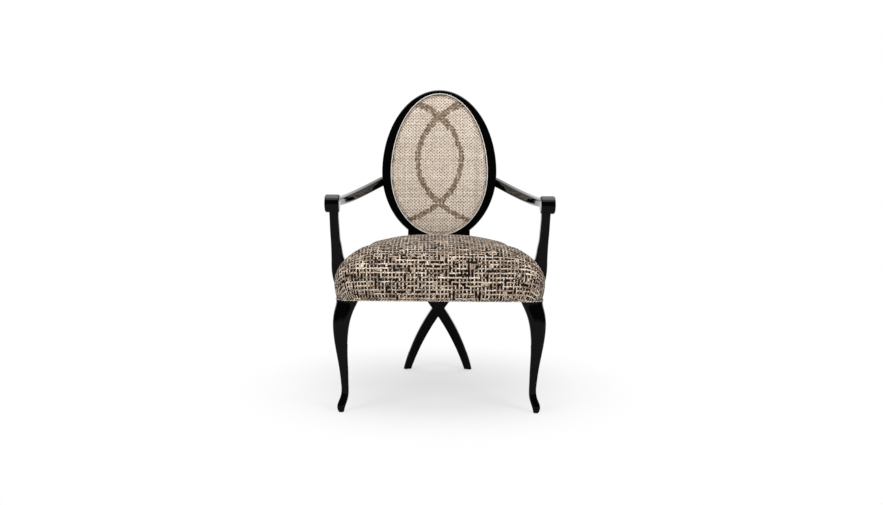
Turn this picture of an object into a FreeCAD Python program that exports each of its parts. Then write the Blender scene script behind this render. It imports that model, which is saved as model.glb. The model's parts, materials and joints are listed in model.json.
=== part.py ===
import FreeCAD, Part
import math
import os
import Sketcher
from FreeCAD import Placement, Rotation, Vector

# Oval back armchair: a black lacquered frame with an upholstered oval back, a high crowned
# seat, arms that end in round scrolls, cabriole front legs and rear legs that cross.
# Millimetres. X runs to the right seen from the front, Y to the back, Z up, and the origin
# lies on the floor under the middle of the bounding box.

SIZES = (
    # Seat frame
    ("seat_front_width", 586.0, "over the front leg posts"),
    ("seat_rear_width", 476.0, "over the side rails where they meet the rear rail"),
    ("seat_depth", 483.0, "from the front leg axis to the front face of the neck"),
    ("leg_inset", 7.0, "front leg axis behind the faces of its post"),
    ("rail_underside", 331.0, "height of the lower edge of the rails and of the seat cover"),
    ("rail_height", 64.0, "height of the rails"),
    ("rail_thickness", 25.0, "front and side rails"),
    ("rear_rail_thickness", 27.0, "rear rail"),
    ("post_size", 50.0, "square post on top of each front leg"),
    ("post_corner_radius", 28.0, "outer corner of that post"),
    ("rear_corner_radius", 14.0, "rear corners of the seat frame"),
    ("block_reach", 73.0, "corner block along each rail"),
    ("block_height", 40.0, "corner block"),
    # Front legs
    ("knee_width", 65.0, "front leg where it meets the rails"),
    # Rear legs
    ("rear_foot_spacing", 220.0, "between the middles of the rear feet"),
    ("crossing_height", 221.7, "where the middles of the rear legs cross"),
    ("crossing_angle", 35.0, "lean of each rear leg from upright where they cross"),
    ("rear_leg_width", 34.0, "rear leg above the crossing, seen from the front"),
    ("rear_foot_width", 24.0, "rear leg at the floor"),
    ("rear_leg_depth", 30.0, "rear leg from front to back"),
    ("rear_leg_splay", 41.0, "rear feet behind the tops of the rear legs"),
    ("rear_leg_edge_radius", 7.0, "long edges of the rear legs"),
    # Oval back
    ("back_rake", 12.0, "lean of the oval in degrees"),
    ("ring_height", 292.5, "widest line of the oval above the rails"),
    ("ring_width", 390.6, "oval over its outer edge"),
    ("ring_rise", 284.5, "outer edge above the widest line"),
    ("ring_drop", 236.2, "outer edge below the widest line"),
    ("ring_side_face", 29.3, "width of the frame at the sides"),
    ("ring_top_face", 11.9, "width of the frame at the top"),
    ("ring_bottom_face", 17.1, "width of the frame at the bottom"),
    ("opening_lowering", 5.4, "widest line of the opening below that of the frame"),
    ("ring_thickness", 32.0, "oval frame and neck from front to back"),
    ("ring_edge_radius", 5.0, "rounded outer edges of the oval and the neck"),
    ("ring_joint_angle", 40.0, "joints of the oval above and below its widest line"),
    ("neck_width", 210.0, "neck between the oval and the rear rail"),
    ("neck_bend_height", 25.0, "where the neck starts to lean back, above the rails"),
    # Back upholstery
    ("board_thickness", 8.0, "board inside the oval"),
    ("board_setback", 12.0, "front of the board behind the front of the oval"),
    ("back_edge_setback", 4.0, "edge of the front cover behind the front of the oval"),
    ("back_crown", 12.0, "swell of the front of the back above its edge"),
    ("piping_diameter", 5.0, "light cord round the back covers"),
    ("outer_cover_thickness", 2.5, "fabric and card on the outside of the back"),
    # Arms
    ("arm_spacing", 636.0, "between the middles of the arms at the scrolls"),
    ("arm_sweep_radius", 826.5, "plan curve of the middle of each arm"),
    ("arm_level", 605.0, "height of the middle of the level part of an arm"),
    ("arm_rise_start", 260.0, "where an arm starts to climb, behind the front leg axis"),
    ("arm_rise_radius", 1009.0, "curve of the climbing part"),
    ("arm_width", 28.0, "arm across"),
    ("arm_depth", 27.0, "arm from top to bottom"),
    ("arm_edge_radius", 8.0, "long edges of the arms"),
    ("scroll_diameter", 54.0, "round end of an arm"),
    ("scroll_length", 43.0, "round end along its axis, without its domed face"),
    ("scroll_dome", 3.0, "swell of the outer face of a scroll"),
    ("scroll_bevel", 3.0, "bevelled rim of a scroll"),
    ("scroll_offset", 5.0, "middle of a scroll outside the middle of the arm"),
    ("scroll_drop", 1.5, "axis of a scroll below the middle of the arm"),
    ("scroll_setback", 130.0, "axis of a scroll behind the front leg axis"),
    ("post_foot_offset", 16.5, "middle of the foot of an arm post outside the side rail"),
    ("post_sweep", 50.0, "foot of an arm post behind its top"),
    ("post_depth", 34.0, "arm post from front to back"),
    ("post_lift", 8.0, "foot of an arm post above the lower edge of the rails"),
    # Seat upholstery
    ("seat_crown_height", 112.0, "top of the seat above its widest line"),
    ("seat_waist_height", 51.0, "widest line of the seat above its hem"),
    ("seat_swell", 13.5, "widest line of the cover outside the rails"),
    ("seat_hem_inset", 9.5, "hem inside the widest line"),
    ("seat_crown_radius", 1300.0, "flat curve over the top of the seat"),
    ("seat_round_radius", 230.0, "plan corners of the seat, if its crown were full size"),
    ("cover_thickness", 2.5, "seat and back covers"),
    ("trim_diameter", 5.0, "cord along the hem of the seat"),
    ("dust_cover_thickness", 1.5, "cloth under the rails"),
    ("dust_cover_inset", 6.0, "edge of that cloth inside the rails"),
    ("webbing_width", 50.0, "webbing bands"),
    ("webbing_thickness", 2.0, "webbing bands"),
    ("webbing_pitch", 78.0, "spacing of the webbing bands"),
    # Fasteners and floor glides
    ("dowel_diameter", 9.0, "dowels of the frame"),
    ("dowel_length", 36.0, "dowels of the frame"),
    ("fine_dowel_diameter", 7.0, "dowels of the oval and the arms"),
    ("fine_dowel_length", 30.0, "dowels of the oval and the arms"),
    ("screw_diameter", 4.5, "shank of the wood screws"),
    ("screw_head_diameter", 9.0, "head of the wood screws"),
    ("screw_head_height", 3.0, "head of the wood screws"),
    ("block_screw_length", 52.0, "screws of the corner blocks"),
    ("post_screw_length", 48.0, "screws through the side rails into the arm posts"),
    ("lap_screw_length", 20.0, "screw where the rear legs cross"),
    ("lap_plug_thickness", 4.0, "plug over that screw"),
    ("bolt_diameter", 8.0, "bolts of the neck"),
    ("bolt_length", 50.0, "bolts of the neck"),
    ("bolt_head_diameter", 13.0, "bolts of the neck"),
    ("bolt_head_height", 5.0, "bolts of the neck"),
    ("washer_diameter", 20.0, "washers of the neck bolts"),
    ("washer_thickness", 2.0, "washers of the neck bolts"),
    ("glide_diameter", 15.0, "nailed floor glides"),
    ("glide_height", 3.0, "nailed floor glides"),
    ("glide_pin_diameter", 3.0, "nail of a glide"),
    ("glide_pin_length", 14.0, "nail of a glide"),
)

# Front leg from the floor up: height, outward shift of the middle, width, corner radius.
# Heights are shares of the leg, shifts and widths of the knee, radii of the station's width.
LEG_SHARES = (
    (0.0, 0.0, 0.26, 0.36),
    (0.033, 0.008, 0.345, 0.36),
    (0.070, -0.036, 0.385, 0.36),
    (0.119, -0.118, 0.355, 0.34),
    (0.173, -0.156, 0.32, 0.32),
    (0.243, -0.147, 0.325, 0.30),
    (0.356, -0.114, 0.375, 0.30),
    (0.492, -0.052, 0.455, 0.30),
    (0.629, -0.003, 0.575, 0.30),
    (0.742, 0.003, 0.685, 0.32),
    (0.830, -0.034, 0.78, 0.35),
    (0.921, -0.146, 0.88, 0.39),
    (1.0, -0.269, 1.0, 0.42),
)

# Arm post from its foot up: height, lean, width, sweep, depth, as shares of its height,
# its foot's way inside its top, arm_width, post_sweep and post_depth.
POST_SHARES = (
    (0.0, 1.0, 1.82, 1.0, 1.35),
    (0.06, 0.904, 2.0, 1.0, 1.35),
    (0.125, 0.779, 2.09, 1.0, 1.33),
    (0.19, 0.638, 2.03, 0.99, 1.30),
    (0.26, 0.471, 1.80, 0.97, 1.24),
    (0.34, 0.275, 1.418, 0.91, 1.14),
    (0.42, 0.185, 1.23, 0.80, 1.06),
    (0.54, 0.11, 1.08, 0.58, 0.98),
    (0.65, 0.05, 1.01, 0.36, 0.94),
    (0.77, 0.02, 0.98, 0.16, 0.94),
    (0.88, 0.0, 0.98, 0.04, 0.98),
    (1.0, 0.0, 1.0, 0.0, 1.04),
)
POST_CORNER_SHARE = 0.24

# Stations along curved pieces and places of fasteners, as shares of the piece they belong to
ARM_SHARES = (0, 0.15, 0.3, 0.45, 0.6, 0.75, 0.88, 1)
HEM_SHARES = (-0.1, 0.2, 0.6)
SHOULDER_SHARES = (0, 0.2, 0.4, 0.6, 0.8, 1)
CROWN_SHARES = (0.8, 0.6, 0.4, 0.2, 0.08)
BACK_CROWN_SHARES = (1.0, 0.93, 0.8, 0.6, 0.35, 0.12)
SCROLL_DOME_SHARES = ((0.7, 0.5), (1.0, 0.2), (1.0, 0))
EGG_ARC_SHARES = (0, 0.5, 1)
DOWEL_LEVEL_SHARES = (0.28, 0.72)
RING_DOWEL_SHARES = (0.3, 0.7)
FRONT_SCREW_SHARES = (0.30, 0.62)
REAR_SCREW_SHARES = (0.28, 0.74)
NECK_BOLT_SHARE = 0.27
ROUND_LIMIT_SHARE = 0.46
LEG_DOWEL_SHARE = 0.3
WEB_HOLD_SHARE = 0.7

# Steepness of the swell of the back towards its edge
BACK_CROWN_POWER = 2.4

doc = FreeCAD.newDocument("oval_back_armchair")
sheet = doc.addObject("Spreadsheet::Sheet", "Sizes")
for row, (alias, size, note) in enumerate(SIZES, start=1):
    sheet.set(f"A{row}", alias.replace("_", " "))
    sheet.set(f"B{row}", str(size))
    sheet.set(f"C{row}", note)
    sheet.setAlias(f"B{row}", alias)
doc.recompute()
SIZE = {alias: float(sheet.get(alias)) for alias, size, note in SIZES}

RAKE = math.radians(SIZE["back_rake"])
HALF_FRONT = SIZE["seat_front_width"] / 2
HALF_REAR = SIZE["seat_rear_width"] / 2
FRONT_FACE = -SIZE["leg_inset"]
POST_BACK = FRONT_FACE + SIZE["post_size"]
LEG_AXIS = HALF_FRONT - SIZE["leg_inset"]
NECK_FRONT = SIZE["seat_depth"]
REAR_RAIL_FRONT = NECK_FRONT - SIZE["rear_rail_thickness"]
RAIL_TOP = SIZE["rail_underside"] + SIZE["rail_height"]
RAIL_MIDDLE = SIZE["rail_underside"] + SIZE["rail_height"] / 2
WEBBING_TOP = RAIL_TOP + 2 * SIZE["webbing_thickness"]
SIDE_TAPER = (HALF_FRONT - HALF_REAR) / (REAR_RAIL_FRONT - POST_BACK)
SIDE_SLANT = math.hypot(1, SIDE_TAPER)
RING_HEIGHT = RAIL_TOP + SIZE["ring_height"]
NECK_BEND = RAIL_TOP + SIZE["neck_bend_height"]
SEAT_WAIST = SIZE["rail_underside"] + SIZE["seat_waist_height"]
SEAT_CROWN = SEAT_WAIST + SIZE["seat_crown_height"]
RING_SETBACK = NECK_FRONT + (RING_HEIGHT - NECK_BEND) * math.tan(RAKE)
RING_HALF = SIZE["ring_width"] / 2
OPENING_HALF = RING_HALF - SIZE["ring_side_face"]
OPENING_RISE = SIZE["ring_rise"] - SIZE["ring_top_face"] + SIZE["opening_lowering"]
OPENING_DROP = SIZE["ring_drop"] - SIZE["ring_bottom_face"] - SIZE["opening_lowering"]
ARM_AXIS = SIZE["arm_spacing"] / 2
SCROLL_HEIGHT = SIZE["arm_level"] - SIZE["scroll_drop"]
POST_FOOT_Y = SIZE["scroll_setback"] + SIZE["post_sweep"]
DOWEL_LEVELS = [SIZE["rail_underside"] + SIZE["rail_height"] * share for share in DOWEL_LEVEL_SHARES]
KNEE_REACH = max(SIZE["knee_width"] * (shift + width / 2) for _, shift, width, _ in LEG_SHARES)


def cover_reach(height):
    """How far the cover stands outside the rails between its hem and its waist."""
    share = (height - SIZE["rail_underside"]) / SIZE["seat_waist_height"]
    return SIZE["seat_swell"] - SIZE["seat_hem_inset"] * (1 - share) ** 2


TRIM_REACH = cover_reach(SIZE["rail_underside"] + SIZE["trim_diameter"])

# The seat or the knees reach furthest forward and the top of the oval furthest back.
REACH_FRONT = min(
    FRONT_FACE - SIZE["seat_swell"],
    FRONT_FACE - TRIM_REACH - SIZE["trim_diameter"],
    -KNEE_REACH,
)
REACH_BACK = (
    RING_SETBACK
    + (SIZE["ring_rise"] - SIZE["ring_edge_radius"]) * math.sin(RAKE)
    + (SIZE["ring_thickness"] - SIZE["ring_edge_radius"]) * math.cos(RAKE)
    + SIZE["ring_edge_radius"]
)
ORIGIN_Y = (REACH_FRONT + REACH_BACK) / 2

X_AXIS = Vector(1, 0, 0)
Y_AXIS = Vector(0, 1, 0)
Z_AXIS = Vector(0, 0, 1)


def placed(x, y, z, rotation=Rotation()):
    """Placement of a point that is measured from the front leg axis."""
    return Placement(Vector(x, y - ORIGIN_Y, z), rotation)


RING_TURN = Rotation(X_AXIS, 90 - SIZE["back_rake"])
RING_PLACE = placed(0, RING_SETBACK, RING_HEIGHT, RING_TURN)


def bind(item, **expressions):
    """Tie properties of an object to the sheet, whose cells are written with a leading @."""
    for name, expression in expressions.items():
        item.setExpression(name, expression.replace("@", "Sizes."))
    return item


def shaped(name, shape, placement):
    item = doc.addObject("Part::Feature", name)
    item.Shape = shape
    item.Placement = placement
    return item


def joined(name, items):
    item = doc.addObject("Part::MultiFuse", name)
    item.Shapes = items
    return item


def grouped(name, items):
    item = doc.addObject("Part::Compound", name)
    item.Links = items
    return item


def cut(name, base, tools):
    item = doc.addObject("Part::Cut", name)
    item.Base = base
    item.Tool = tools[0] if len(tools) == 1 else grouped(name + "_tools", tools)
    return item


def mirrored(name, source):
    item = doc.addObject("Part::Mirroring", name)
    item.Source = source
    item.Normal = X_AXIS
    return item


def box(name, length, width, height, placement):
    item = doc.addObject("Part::Box", name)
    bind(item, Length=length, Width=width, Height=height)
    item.Placement = placement
    return item


def cylinder(name, diameter, height, placement):
    item = doc.addObject("Part::Cylinder", name)
    bind(item, Radius=f"({diameter}) / 2", Height=height)
    item.Placement = placement
    return item


def origin_plane(body, role):
    return next(plane for plane in body.Origin.OriginFeatures if plane.Role == role)


def sketched(body, role, corners):
    """Closed outline on an origin plane, each corner tied to the sheet."""
    sketch = body.newObject("Sketcher::SketchObject", body.Name + "_outline")
    sketch.AttachmentSupport = [(origin_plane(body, role), "")]
    sketch.MapMode = "FlatFace"
    count = len(corners)
    turns = [2 * math.pi * index / count for index in range(count)]
    loose = [Vector(math.cos(turn), math.sin(turn), 0) * SIZE["rail_height"] for turn in turns]
    for index in range(count):
        sketch.addGeometry(Part.LineSegment(loose[index], loose[(index + 1) % count]))
    for index in range(count):
        sketch.addConstraint(Sketcher.Constraint("Coincident", index, 2, (index + 1) % count, 1))
    for index, corner in enumerate(corners):
        for kind, place, expression in zip(("DistanceX", "DistanceY"), loose[index], corner):
            number = sketch.addConstraint(Sketcher.Constraint(kind, -1, 1, index, 1, place))
            sketch.setExpression(f"Constraints[{number}]", expression.replace("@", "Sizes."))
    return sketch


def padded_body(name, role, corners, length, placement, midplane=False):
    """Body of one sketch padded along its plane's normal."""
    body = doc.addObject("PartDesign::Body", name)
    pad = body.newObject("PartDesign::Pad", name + "_pad")
    pad.Profile = sketched(body, role, corners)
    pad.Midplane = midplane
    bind(pad, Length=length)
    body.Tip = pad
    body.Placement = placement
    return body


def rounded_wire(corners, radii):
    """Closed wire through flat corners, each rounded by its radius."""
    count = len(corners)
    starts = []
    arcs = []
    ends = []
    for index, (corner, radius) in enumerate(zip(corners, radii)):
        back = (corners[index - 1] - corner).normalize()
        ahead = (corners[(index + 1) % count] - corner).normalize()
        half_angle = back.getAngle(ahead) / 2
        inward = (back + ahead).normalize()
        reach = radius / math.tan(half_angle)
        middle = corner + inward * (radius / math.sin(half_angle) - radius)
        starts.append(corner + back * reach)
        ends.append(corner + ahead * reach)
        arcs.append(Part.Arc(starts[-1], middle, ends[-1]).toShape())
    edges = []
    for index in range(count):
        edges.append(arcs[index])
        edges.append(Part.LineSegment(ends[index], starts[(index + 1) % count]).toShape())
    return Part.Wire(edges)


def framed_corners(middle, side, rise, width, height):
    """Corners of a rectangle about a point, along two unit directions."""
    reach = side * (width / 2)
    lift = rise * (height / 2)
    return [middle - reach - lift, middle + reach - lift, middle + reach + lift, middle - reach + lift]


def dowel(name, middle, direction, fine=False):
    kind = "fine_dowel" if fine else "dowel"
    start = middle - direction * (SIZE[kind + "_length"] / 2)
    turn = Rotation(Z_AXIS, direction)
    return cylinder(name, f"@{kind}_diameter", f"@{kind}_length", placed(*start, turn))


def screw(name, head, direction, length):
    """Countersunk screw whose head lies flush at the point given."""
    turn = Rotation(Z_AXIS, direction)
    top = doc.addObject("Part::Cone", name + "_head")
    bind(top, Radius1="@screw_head_diameter / 2", Radius2="@screw_diameter / 2", Height="@screw_head_height")
    top.Placement = placed(*head, turn)
    neck = head + direction * SIZE["screw_head_height"]
    shank = cylinder(name + "_shank", "@screw_diameter", f"{length} - @screw_head_height", placed(*neck, turn))
    return joined(name, [top, shank])


def side_face(y):
    """Half width over the side rails at a distance behind the front leg axis."""
    return HALF_FRONT - (y - POST_BACK) * SIDE_TAPER


# Seat frame

def rail_dowels():
    pegs = []
    middle = FRONT_FACE + SIZE["rail_thickness"] / 2
    rail_centre = SIZE["rail_thickness"] * SIDE_SLANT / 2
    for side in (-1, 1):
        for level in DOWEL_LEVELS:
            places = (
                (Vector(side * (HALF_FRONT - SIZE["post_size"]), middle, level), X_AXIS),
                (Vector(side * (HALF_FRONT - rail_centre), POST_BACK, level), Y_AXIS),
                (Vector(side * (HALF_REAR - rail_centre), REAR_RAIL_FRONT, level), Y_AXIS),
            )
            for point, direction in places:
                pegs.append(dowel(f"rail_dowel_{len(pegs) + 1}", point, direction))
    return grouped("rail_dowels", pegs)


def block_corners(front):
    """Plan of a corner block on the right, from the rail across to the other rail."""
    inner = -SIZE["rail_thickness"] * SIDE_SLANT
    if front:
        inside = FRONT_FACE + SIZE["rail_thickness"]
        post_side = HALF_FRONT - SIZE["post_size"]
        far = inside + SIZE["block_reach"] + SIZE["post_size"] / 2
        return [
            Vector(post_side - SIZE["block_reach"], inside, 0),
            Vector(post_side, inside, 0),
            Vector(post_side, POST_BACK, 0),
            Vector(side_face(POST_BACK) + inner, POST_BACK, 0),
            Vector(side_face(far) + inner, far, 0),
        ]
    far = REAR_RAIL_FRONT - SIZE["block_reach"]
    return [
        Vector(HALF_REAR + inner - SIZE["block_reach"], REAR_RAIL_FRONT, 0),
        Vector(side_face(far) + inner, far, 0),
        Vector(HALF_REAR + inner, REAR_RAIL_FRONT, 0),
    ]


def block_screws():
    """Two screws square to the long face of each corner block."""
    screws = []
    for front, shares in ((True, FRONT_SCREW_SHARES), (False, REAR_SCREW_SHARES)):
        corners = block_corners(front)
        start = corners[0]
        end = corners[-1] if front else corners[1]
        along = end - start
        square = Vector(along.y, -along.x, 0).normalize()
        if not front:
            square = square * -1
        for share in shares:
            head = start + along * share
            head.z = RAIL_MIDDLE
            for side in (-1, 1):
                point = Vector(side * head.x, head.y, head.z)
                direction = Vector(side * square.x, square.y, 0)
                name = f"block_screw_{len(screws) + 1}"
                screws.append(screw(name, point, direction, "@block_screw_length"))
    return grouped("corner_block_screws", screws)


def corner_block(name, front, screws):
    lift = RAIL_MIDDLE - SIZE["block_height"] / 2
    outline = Part.makePolygon(block_corners(front) + block_corners(front)[:1])
    solid = Part.Face(outline).extrude(Z_AXIS * SIZE["block_height"])
    blank = shaped(name + "_blank", solid, placed(0, 0, lift))
    return cut(name + "_right", blank, [screws])


def front_rail(tools):
    blank = box(
        "front_rail_blank",
        "@seat_front_width - 2 * @post_size",
        "@rail_thickness",
        "@rail_height",
        placed(SIZE["post_size"] - HALF_FRONT, FRONT_FACE, SIZE["rail_underside"]),
    )
    return cut("seat_front_rail", blank, tools)


RAIL_RUN = "(@seat_depth - @rear_rail_thickness - @post_size + @leg_inset)"
NARROWING = "((@seat_front_width - @seat_rear_width) / 2)"


def rear_rail(tools):
    """Rear rail, whose ends follow the side rails and whose rear corners are rounded."""
    back = f"@seat_rear_width / 2 - {NARROWING} / {RAIL_RUN} * @rear_rail_thickness"
    corners = (
        ("-@seat_rear_width / 2", "0"),
        ("@seat_rear_width / 2", "0"),
        (back, "@rear_rail_thickness"),
        (f"-({back})", "@rear_rail_thickness"),
    )
    place = placed(0, REAR_RAIL_FRONT, SIZE["rail_underside"])
    blank = padded_body("rear_rail_blank", "XY_Plane", corners, "@rail_height", place)
    doc.recompute()
    pad = blank.Tip
    rear_edges = [
        f"Edge{number}"
        for number, edge in enumerate(pad.Shape.Edges, start=1)
        if edge.BoundBox.ZLength > SIZE["rail_height"] / 2
        and edge.BoundBox.YMin > SIZE["rear_rail_thickness"] / 2
    ]
    rounding = blank.newObject("PartDesign::Fillet", "rear_rail_rounding")
    rounding.Base = (pad, rear_edges)
    bind(rounding, Radius="@rear_corner_radius")
    blank.Tip = rounding
    return cut("seat_rear_rail", blank, tools)


def side_rail(tools):
    """Right side rail, which narrows the seat to the rear."""
    across = f"(@rail_thickness * sqrt(1 + ({NARROWING} / {RAIL_RUN}) ^ 2))"
    corners = (
        (f"-{across}", "0"),
        ("0", "0"),
        (f"-{NARROWING}", RAIL_RUN),
        (f"-{NARROWING} - {across}", RAIL_RUN),
    )
    place = placed(HALF_FRONT, POST_BACK, SIZE["rail_underside"])
    blank = padded_body("side_rail_blank", "XY_Plane", corners, "@rail_height", place)
    return cut("seat_right_rail", blank, tools)


# Front legs

def leg_wire(station):
    height_share, shift_share, width_share, radius_share = station
    span = SIZE["rail_underside"] - SIZE["glide_height"]
    width = SIZE["knee_width"] * width_share
    shift = SIZE["knee_width"] * shift_share
    middle = Vector(LEG_AXIS + shift, -shift, SIZE["glide_height"] + span * height_share)
    return rounded_wire(framed_corners(middle, X_AXIS, Y_AXIS, width, width), [width * radius_share] * 4)


def front_leg(tools):
    """Right cabriole leg with the post that stands between the rails."""
    curve = Part.makeLoft([leg_wire(station) for station in LEG_SHARES], True, False)
    post = Part.makeBox(
        SIZE["post_size"],
        SIZE["post_size"],
        SIZE["rail_height"],
        Vector(HALF_FRONT - SIZE["post_size"], FRONT_FACE, SIZE["rail_underside"]),
    )
    corner = [
        edge
        for edge in post.Edges
        if edge.BoundBox.ZLength > SIZE["rail_height"] / 2
        and edge.BoundBox.XMax > LEG_AXIS
        and edge.BoundBox.YMin < 0
    ]
    post = post.makeFillet(SIZE["post_corner_radius"], corner)
    blank = shaped("front_leg_blank", curve.fuse(post), placed(0, 0, 0))
    return cut("front_right_leg", blank, tools)


# Rear legs

LEG_TOP_Y = NECK_FRONT + SIZE["ring_thickness"] / 2
LEG_TILT = math.degrees(math.atan(SIZE["rear_leg_splay"] / SIZE["rail_underside"]))
LEG_SLOPE = math.cos(math.radians(LEG_TILT))
CROSSING_DROP = (SIZE["rail_underside"] - SIZE["crossing_height"]) / LEG_SLOPE
LEG_PLACE = placed(0, LEG_TOP_Y, SIZE["rail_underside"], Rotation(X_AXIS, 90 + LEG_TILT))


def tangent_arc(start, direction, end):
    """Arc that leaves a point in a direction and reaches another point."""
    square = Vector(-direction.y, direction.x, 0)
    chord = end - start
    radius = chord.dot(chord) / (2 * square.dot(chord))
    centre = start + square * radius
    outward = ((start + end) * 0.5 - centre).normalize()
    return Part.Arc(start, centre + outward * abs(radius), end).toShape()


def rear_leg_bar(side):
    """Curved bar in the plane of the rear legs, with its foot on the side given."""
    lean = math.radians(SIZE["crossing_angle"])
    upward = Vector(-side * math.sin(lean), math.cos(lean), 0)
    square = Vector(math.cos(lean), side * math.sin(lean), 0)
    crossing = Vector(0, -CROSSING_DROP, 0)
    overrun = SIZE["rear_leg_depth"] / 2
    rise = upward * ((CROSSING_DROP + overrun) / upward.y)
    foot = Vector(side * SIZE["rear_foot_spacing"] / 2, -SIZE["rail_underside"] / LEG_SLOPE - overrun, 0)
    left = crossing - square * (SIZE["rear_leg_width"] / 2)
    right = crossing + square * (SIZE["rear_leg_width"] / 2)
    left_foot = foot - X_AXIS * (SIZE["rear_foot_width"] / 2)
    right_foot = foot + X_AXIS * (SIZE["rear_foot_width"] / 2)
    edges = [
        Part.LineSegment(left + rise, left).toShape(),
        tangent_arc(left, upward * -1, left_foot),
        Part.LineSegment(left_foot, right_foot).toShape(),
        tangent_arc(right, upward * -1, right_foot),
        Part.LineSegment(right, right + rise).toShape(),
        Part.LineSegment(right + rise, left + rise).toShape(),
    ]
    face = Part.Face(Part.Wire(Part.__sortEdges__(edges)))
    face.translate(Z_AXIS * (-SIZE["rear_leg_depth"] / 2))
    bar = face.extrude(Z_AXIS * SIZE["rear_leg_depth"])
    long_edges = [
        edge
        for edge in bar.Edges
        if edge.BoundBox.ZLength < SIZE["rear_leg_edge_radius"] and edge.BoundBox.YLength > CROSSING_DROP / 2
    ]
    return bar.makeFillet(SIZE["rear_leg_edge_radius"], long_edges)


def rear_leg(name, side, tools):
    """Rear leg cut level at floor and rail, halved where it crosses the other leg."""
    bar = rear_leg_bar(side)
    lap = bar.common(rear_leg_bar(-side))
    reach = 2 * SIZE["rear_leg_width"]
    half = Part.makeBox(2 * reach, 2 * reach, reach, Vector(-reach, -CROSSING_DROP - reach, 0))
    if side > 0:
        half.translate(Z_AXIS * -reach)
    bar = bar.cut(lap.common(half))
    span = SIZE["rail_underside"] - SIZE["glide_height"]
    width = 2 * SIZE["rear_foot_spacing"]
    level = Part.makeBox(width, width, span, Vector(-width / 2, -width / 2, 0))
    level.Placement = Placement(
        Vector(0, LEG_TOP_Y - ORIGIN_Y, SIZE["glide_height"]),
        Rotation(),
    ).multiply(level.Placement)
    bar.Placement = LEG_PLACE.multiply(bar.Placement)
    blank = shaped(name + "_blank", bar.common(level), Placement())
    return cut(name, blank, tools)


def lap_fasteners():
    """Screw through the crossing from the front, and the plug over its head."""
    turn = LEG_PLACE.Rotation.multiply(Rotation(X_AXIS, 180))
    inward = turn.multVec(Z_AXIS)
    middle = LEG_PLACE.multVec(Vector(0, -CROSSING_DROP, SIZE["rear_leg_depth"] / 2))
    plug = cylinder("lap_plug", "@screw_head_diameter", "@lap_plug_thickness", Placement(middle, turn))
    head = middle + inward * SIZE["lap_plug_thickness"] + Y_AXIS * ORIGIN_Y
    return plug, grouped("lap_screw", [screw("lap_screw_solid", head, inward, "@lap_screw_length")])


def rear_leg_dowels():
    pegs = []
    lean = math.tan(math.radians(SIZE["crossing_angle"]))
    middle = (SIZE["rail_underside"] - SIZE["crossing_height"]) * lean
    spread = SIZE["rear_leg_width"] * LEG_DOWEL_SHARE
    for side in (-1, 1):
        for step in (-1, 1):
            point = Vector(side * middle + step * spread, LEG_TOP_Y, SIZE["rail_underside"])
            pegs.append(dowel(f"rear_leg_dowel_{len(pegs) + 1}", point, Z_AXIS))
    return grouped("rear_leg_dowels", pegs)


def foot_glides():
    toe = SIZE["knee_width"] * LEG_SHARES[0][1]
    front = (LEG_AXIS + toe, -toe)
    rear = (SIZE["rear_foot_spacing"] / 2, LEG_TOP_Y + SIZE["rear_leg_splay"])
    glides = []
    for x, y in (front, rear):
        for side in (-1, 1):
            name = f"glide_{len(glides) + 1}"
            disc = cylinder(name + "_disc", "@glide_diameter", "@glide_height", placed(side * x, y, 0))
            pin_place = placed(side * x, y, SIZE["glide_height"])
            pin = cylinder(name + "_pin", "@glide_pin_diameter", "@glide_pin_length", pin_place)
            glides.append(joined(name, [disc, pin]))
    return grouped("foot_glides", glides)


# Oval back, drawn flat: X across, Y up the slope, Z to the front, front face at zero

def quarter_arc(centre, across, along, quarter):
    """Quarter of an ellipse whose half axes lie on X and Y, counted from the right."""
    if across >= along:
        ellipse = Part.Ellipse(centre, across, along)
        turn = quarter
    else:
        ellipse = Part.Ellipse(centre + Y_AXIS * along, centre - X_AXIS * across, centre)
        turn = quarter - 1
    return ellipse.toShape(turn * math.pi / 2, (turn + 1) * math.pi / 2)


def egg_wire(half, rise, drop, middle, level):
    """Egg shaped outline of two half ellipses on one widest line."""
    centre = Vector(0, middle, level)
    reaches = (rise, rise, drop, drop)
    return Part.Wire([quarter_arc(centre, half, reach, quarter) for quarter, reach in enumerate(reaches)])


def egg_reach(x, half, reach):
    """Distance of an egg's edge from its widest line at a distance from the middle."""
    return reach * math.sqrt(1 - (x / half) ** 2)


def opening_wire(inset, level):
    """Edge of the oval opening, drawn in by an inset."""
    return egg_wire(
        OPENING_HALF - inset,
        OPENING_RISE - inset,
        OPENING_DROP - inset,
        -SIZE["opening_lowering"],
        level,
    )


def opening_plate(inset, back, front):
    """Flat egg shaped plate that fills the opening between two levels."""
    return Part.Face(opening_wire(inset, back)).extrude(Z_AXIS * (front - back))


def ring_blank():
    """Solid egg with rounded edges, before the opening is cut."""
    thickness = SIZE["ring_thickness"]
    outline = egg_wire(RING_HALF, SIZE["ring_rise"], SIZE["ring_drop"], 0, -thickness)
    solid = Part.Face(outline).extrude(Z_AXIS * thickness)
    rims = [edge for edge in solid.Edges if edge.BoundBox.ZLength < thickness / 2]
    return solid.makeFillet(SIZE["ring_edge_radius"], rims)


def sector(start, end):
    """Wedge about the middle of the oval between two angles in degrees."""
    far = 4 * SIZE["ring_rise"]
    turns = [math.radians(start + (end - start) * share) for share in (0, 0.5, 1)]
    corners = [Vector(math.cos(turn), math.sin(turn), 0) * far for turn in turns]
    wire = Part.makePolygon([Vector(), *corners, Vector()])
    wedge = Part.Face(wire).extrude(Z_AXIS * (2 * SIZE["ring_thickness"]))
    wedge.translate(Z_AXIS * (-1.5 * SIZE["ring_thickness"]))
    return wedge


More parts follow.
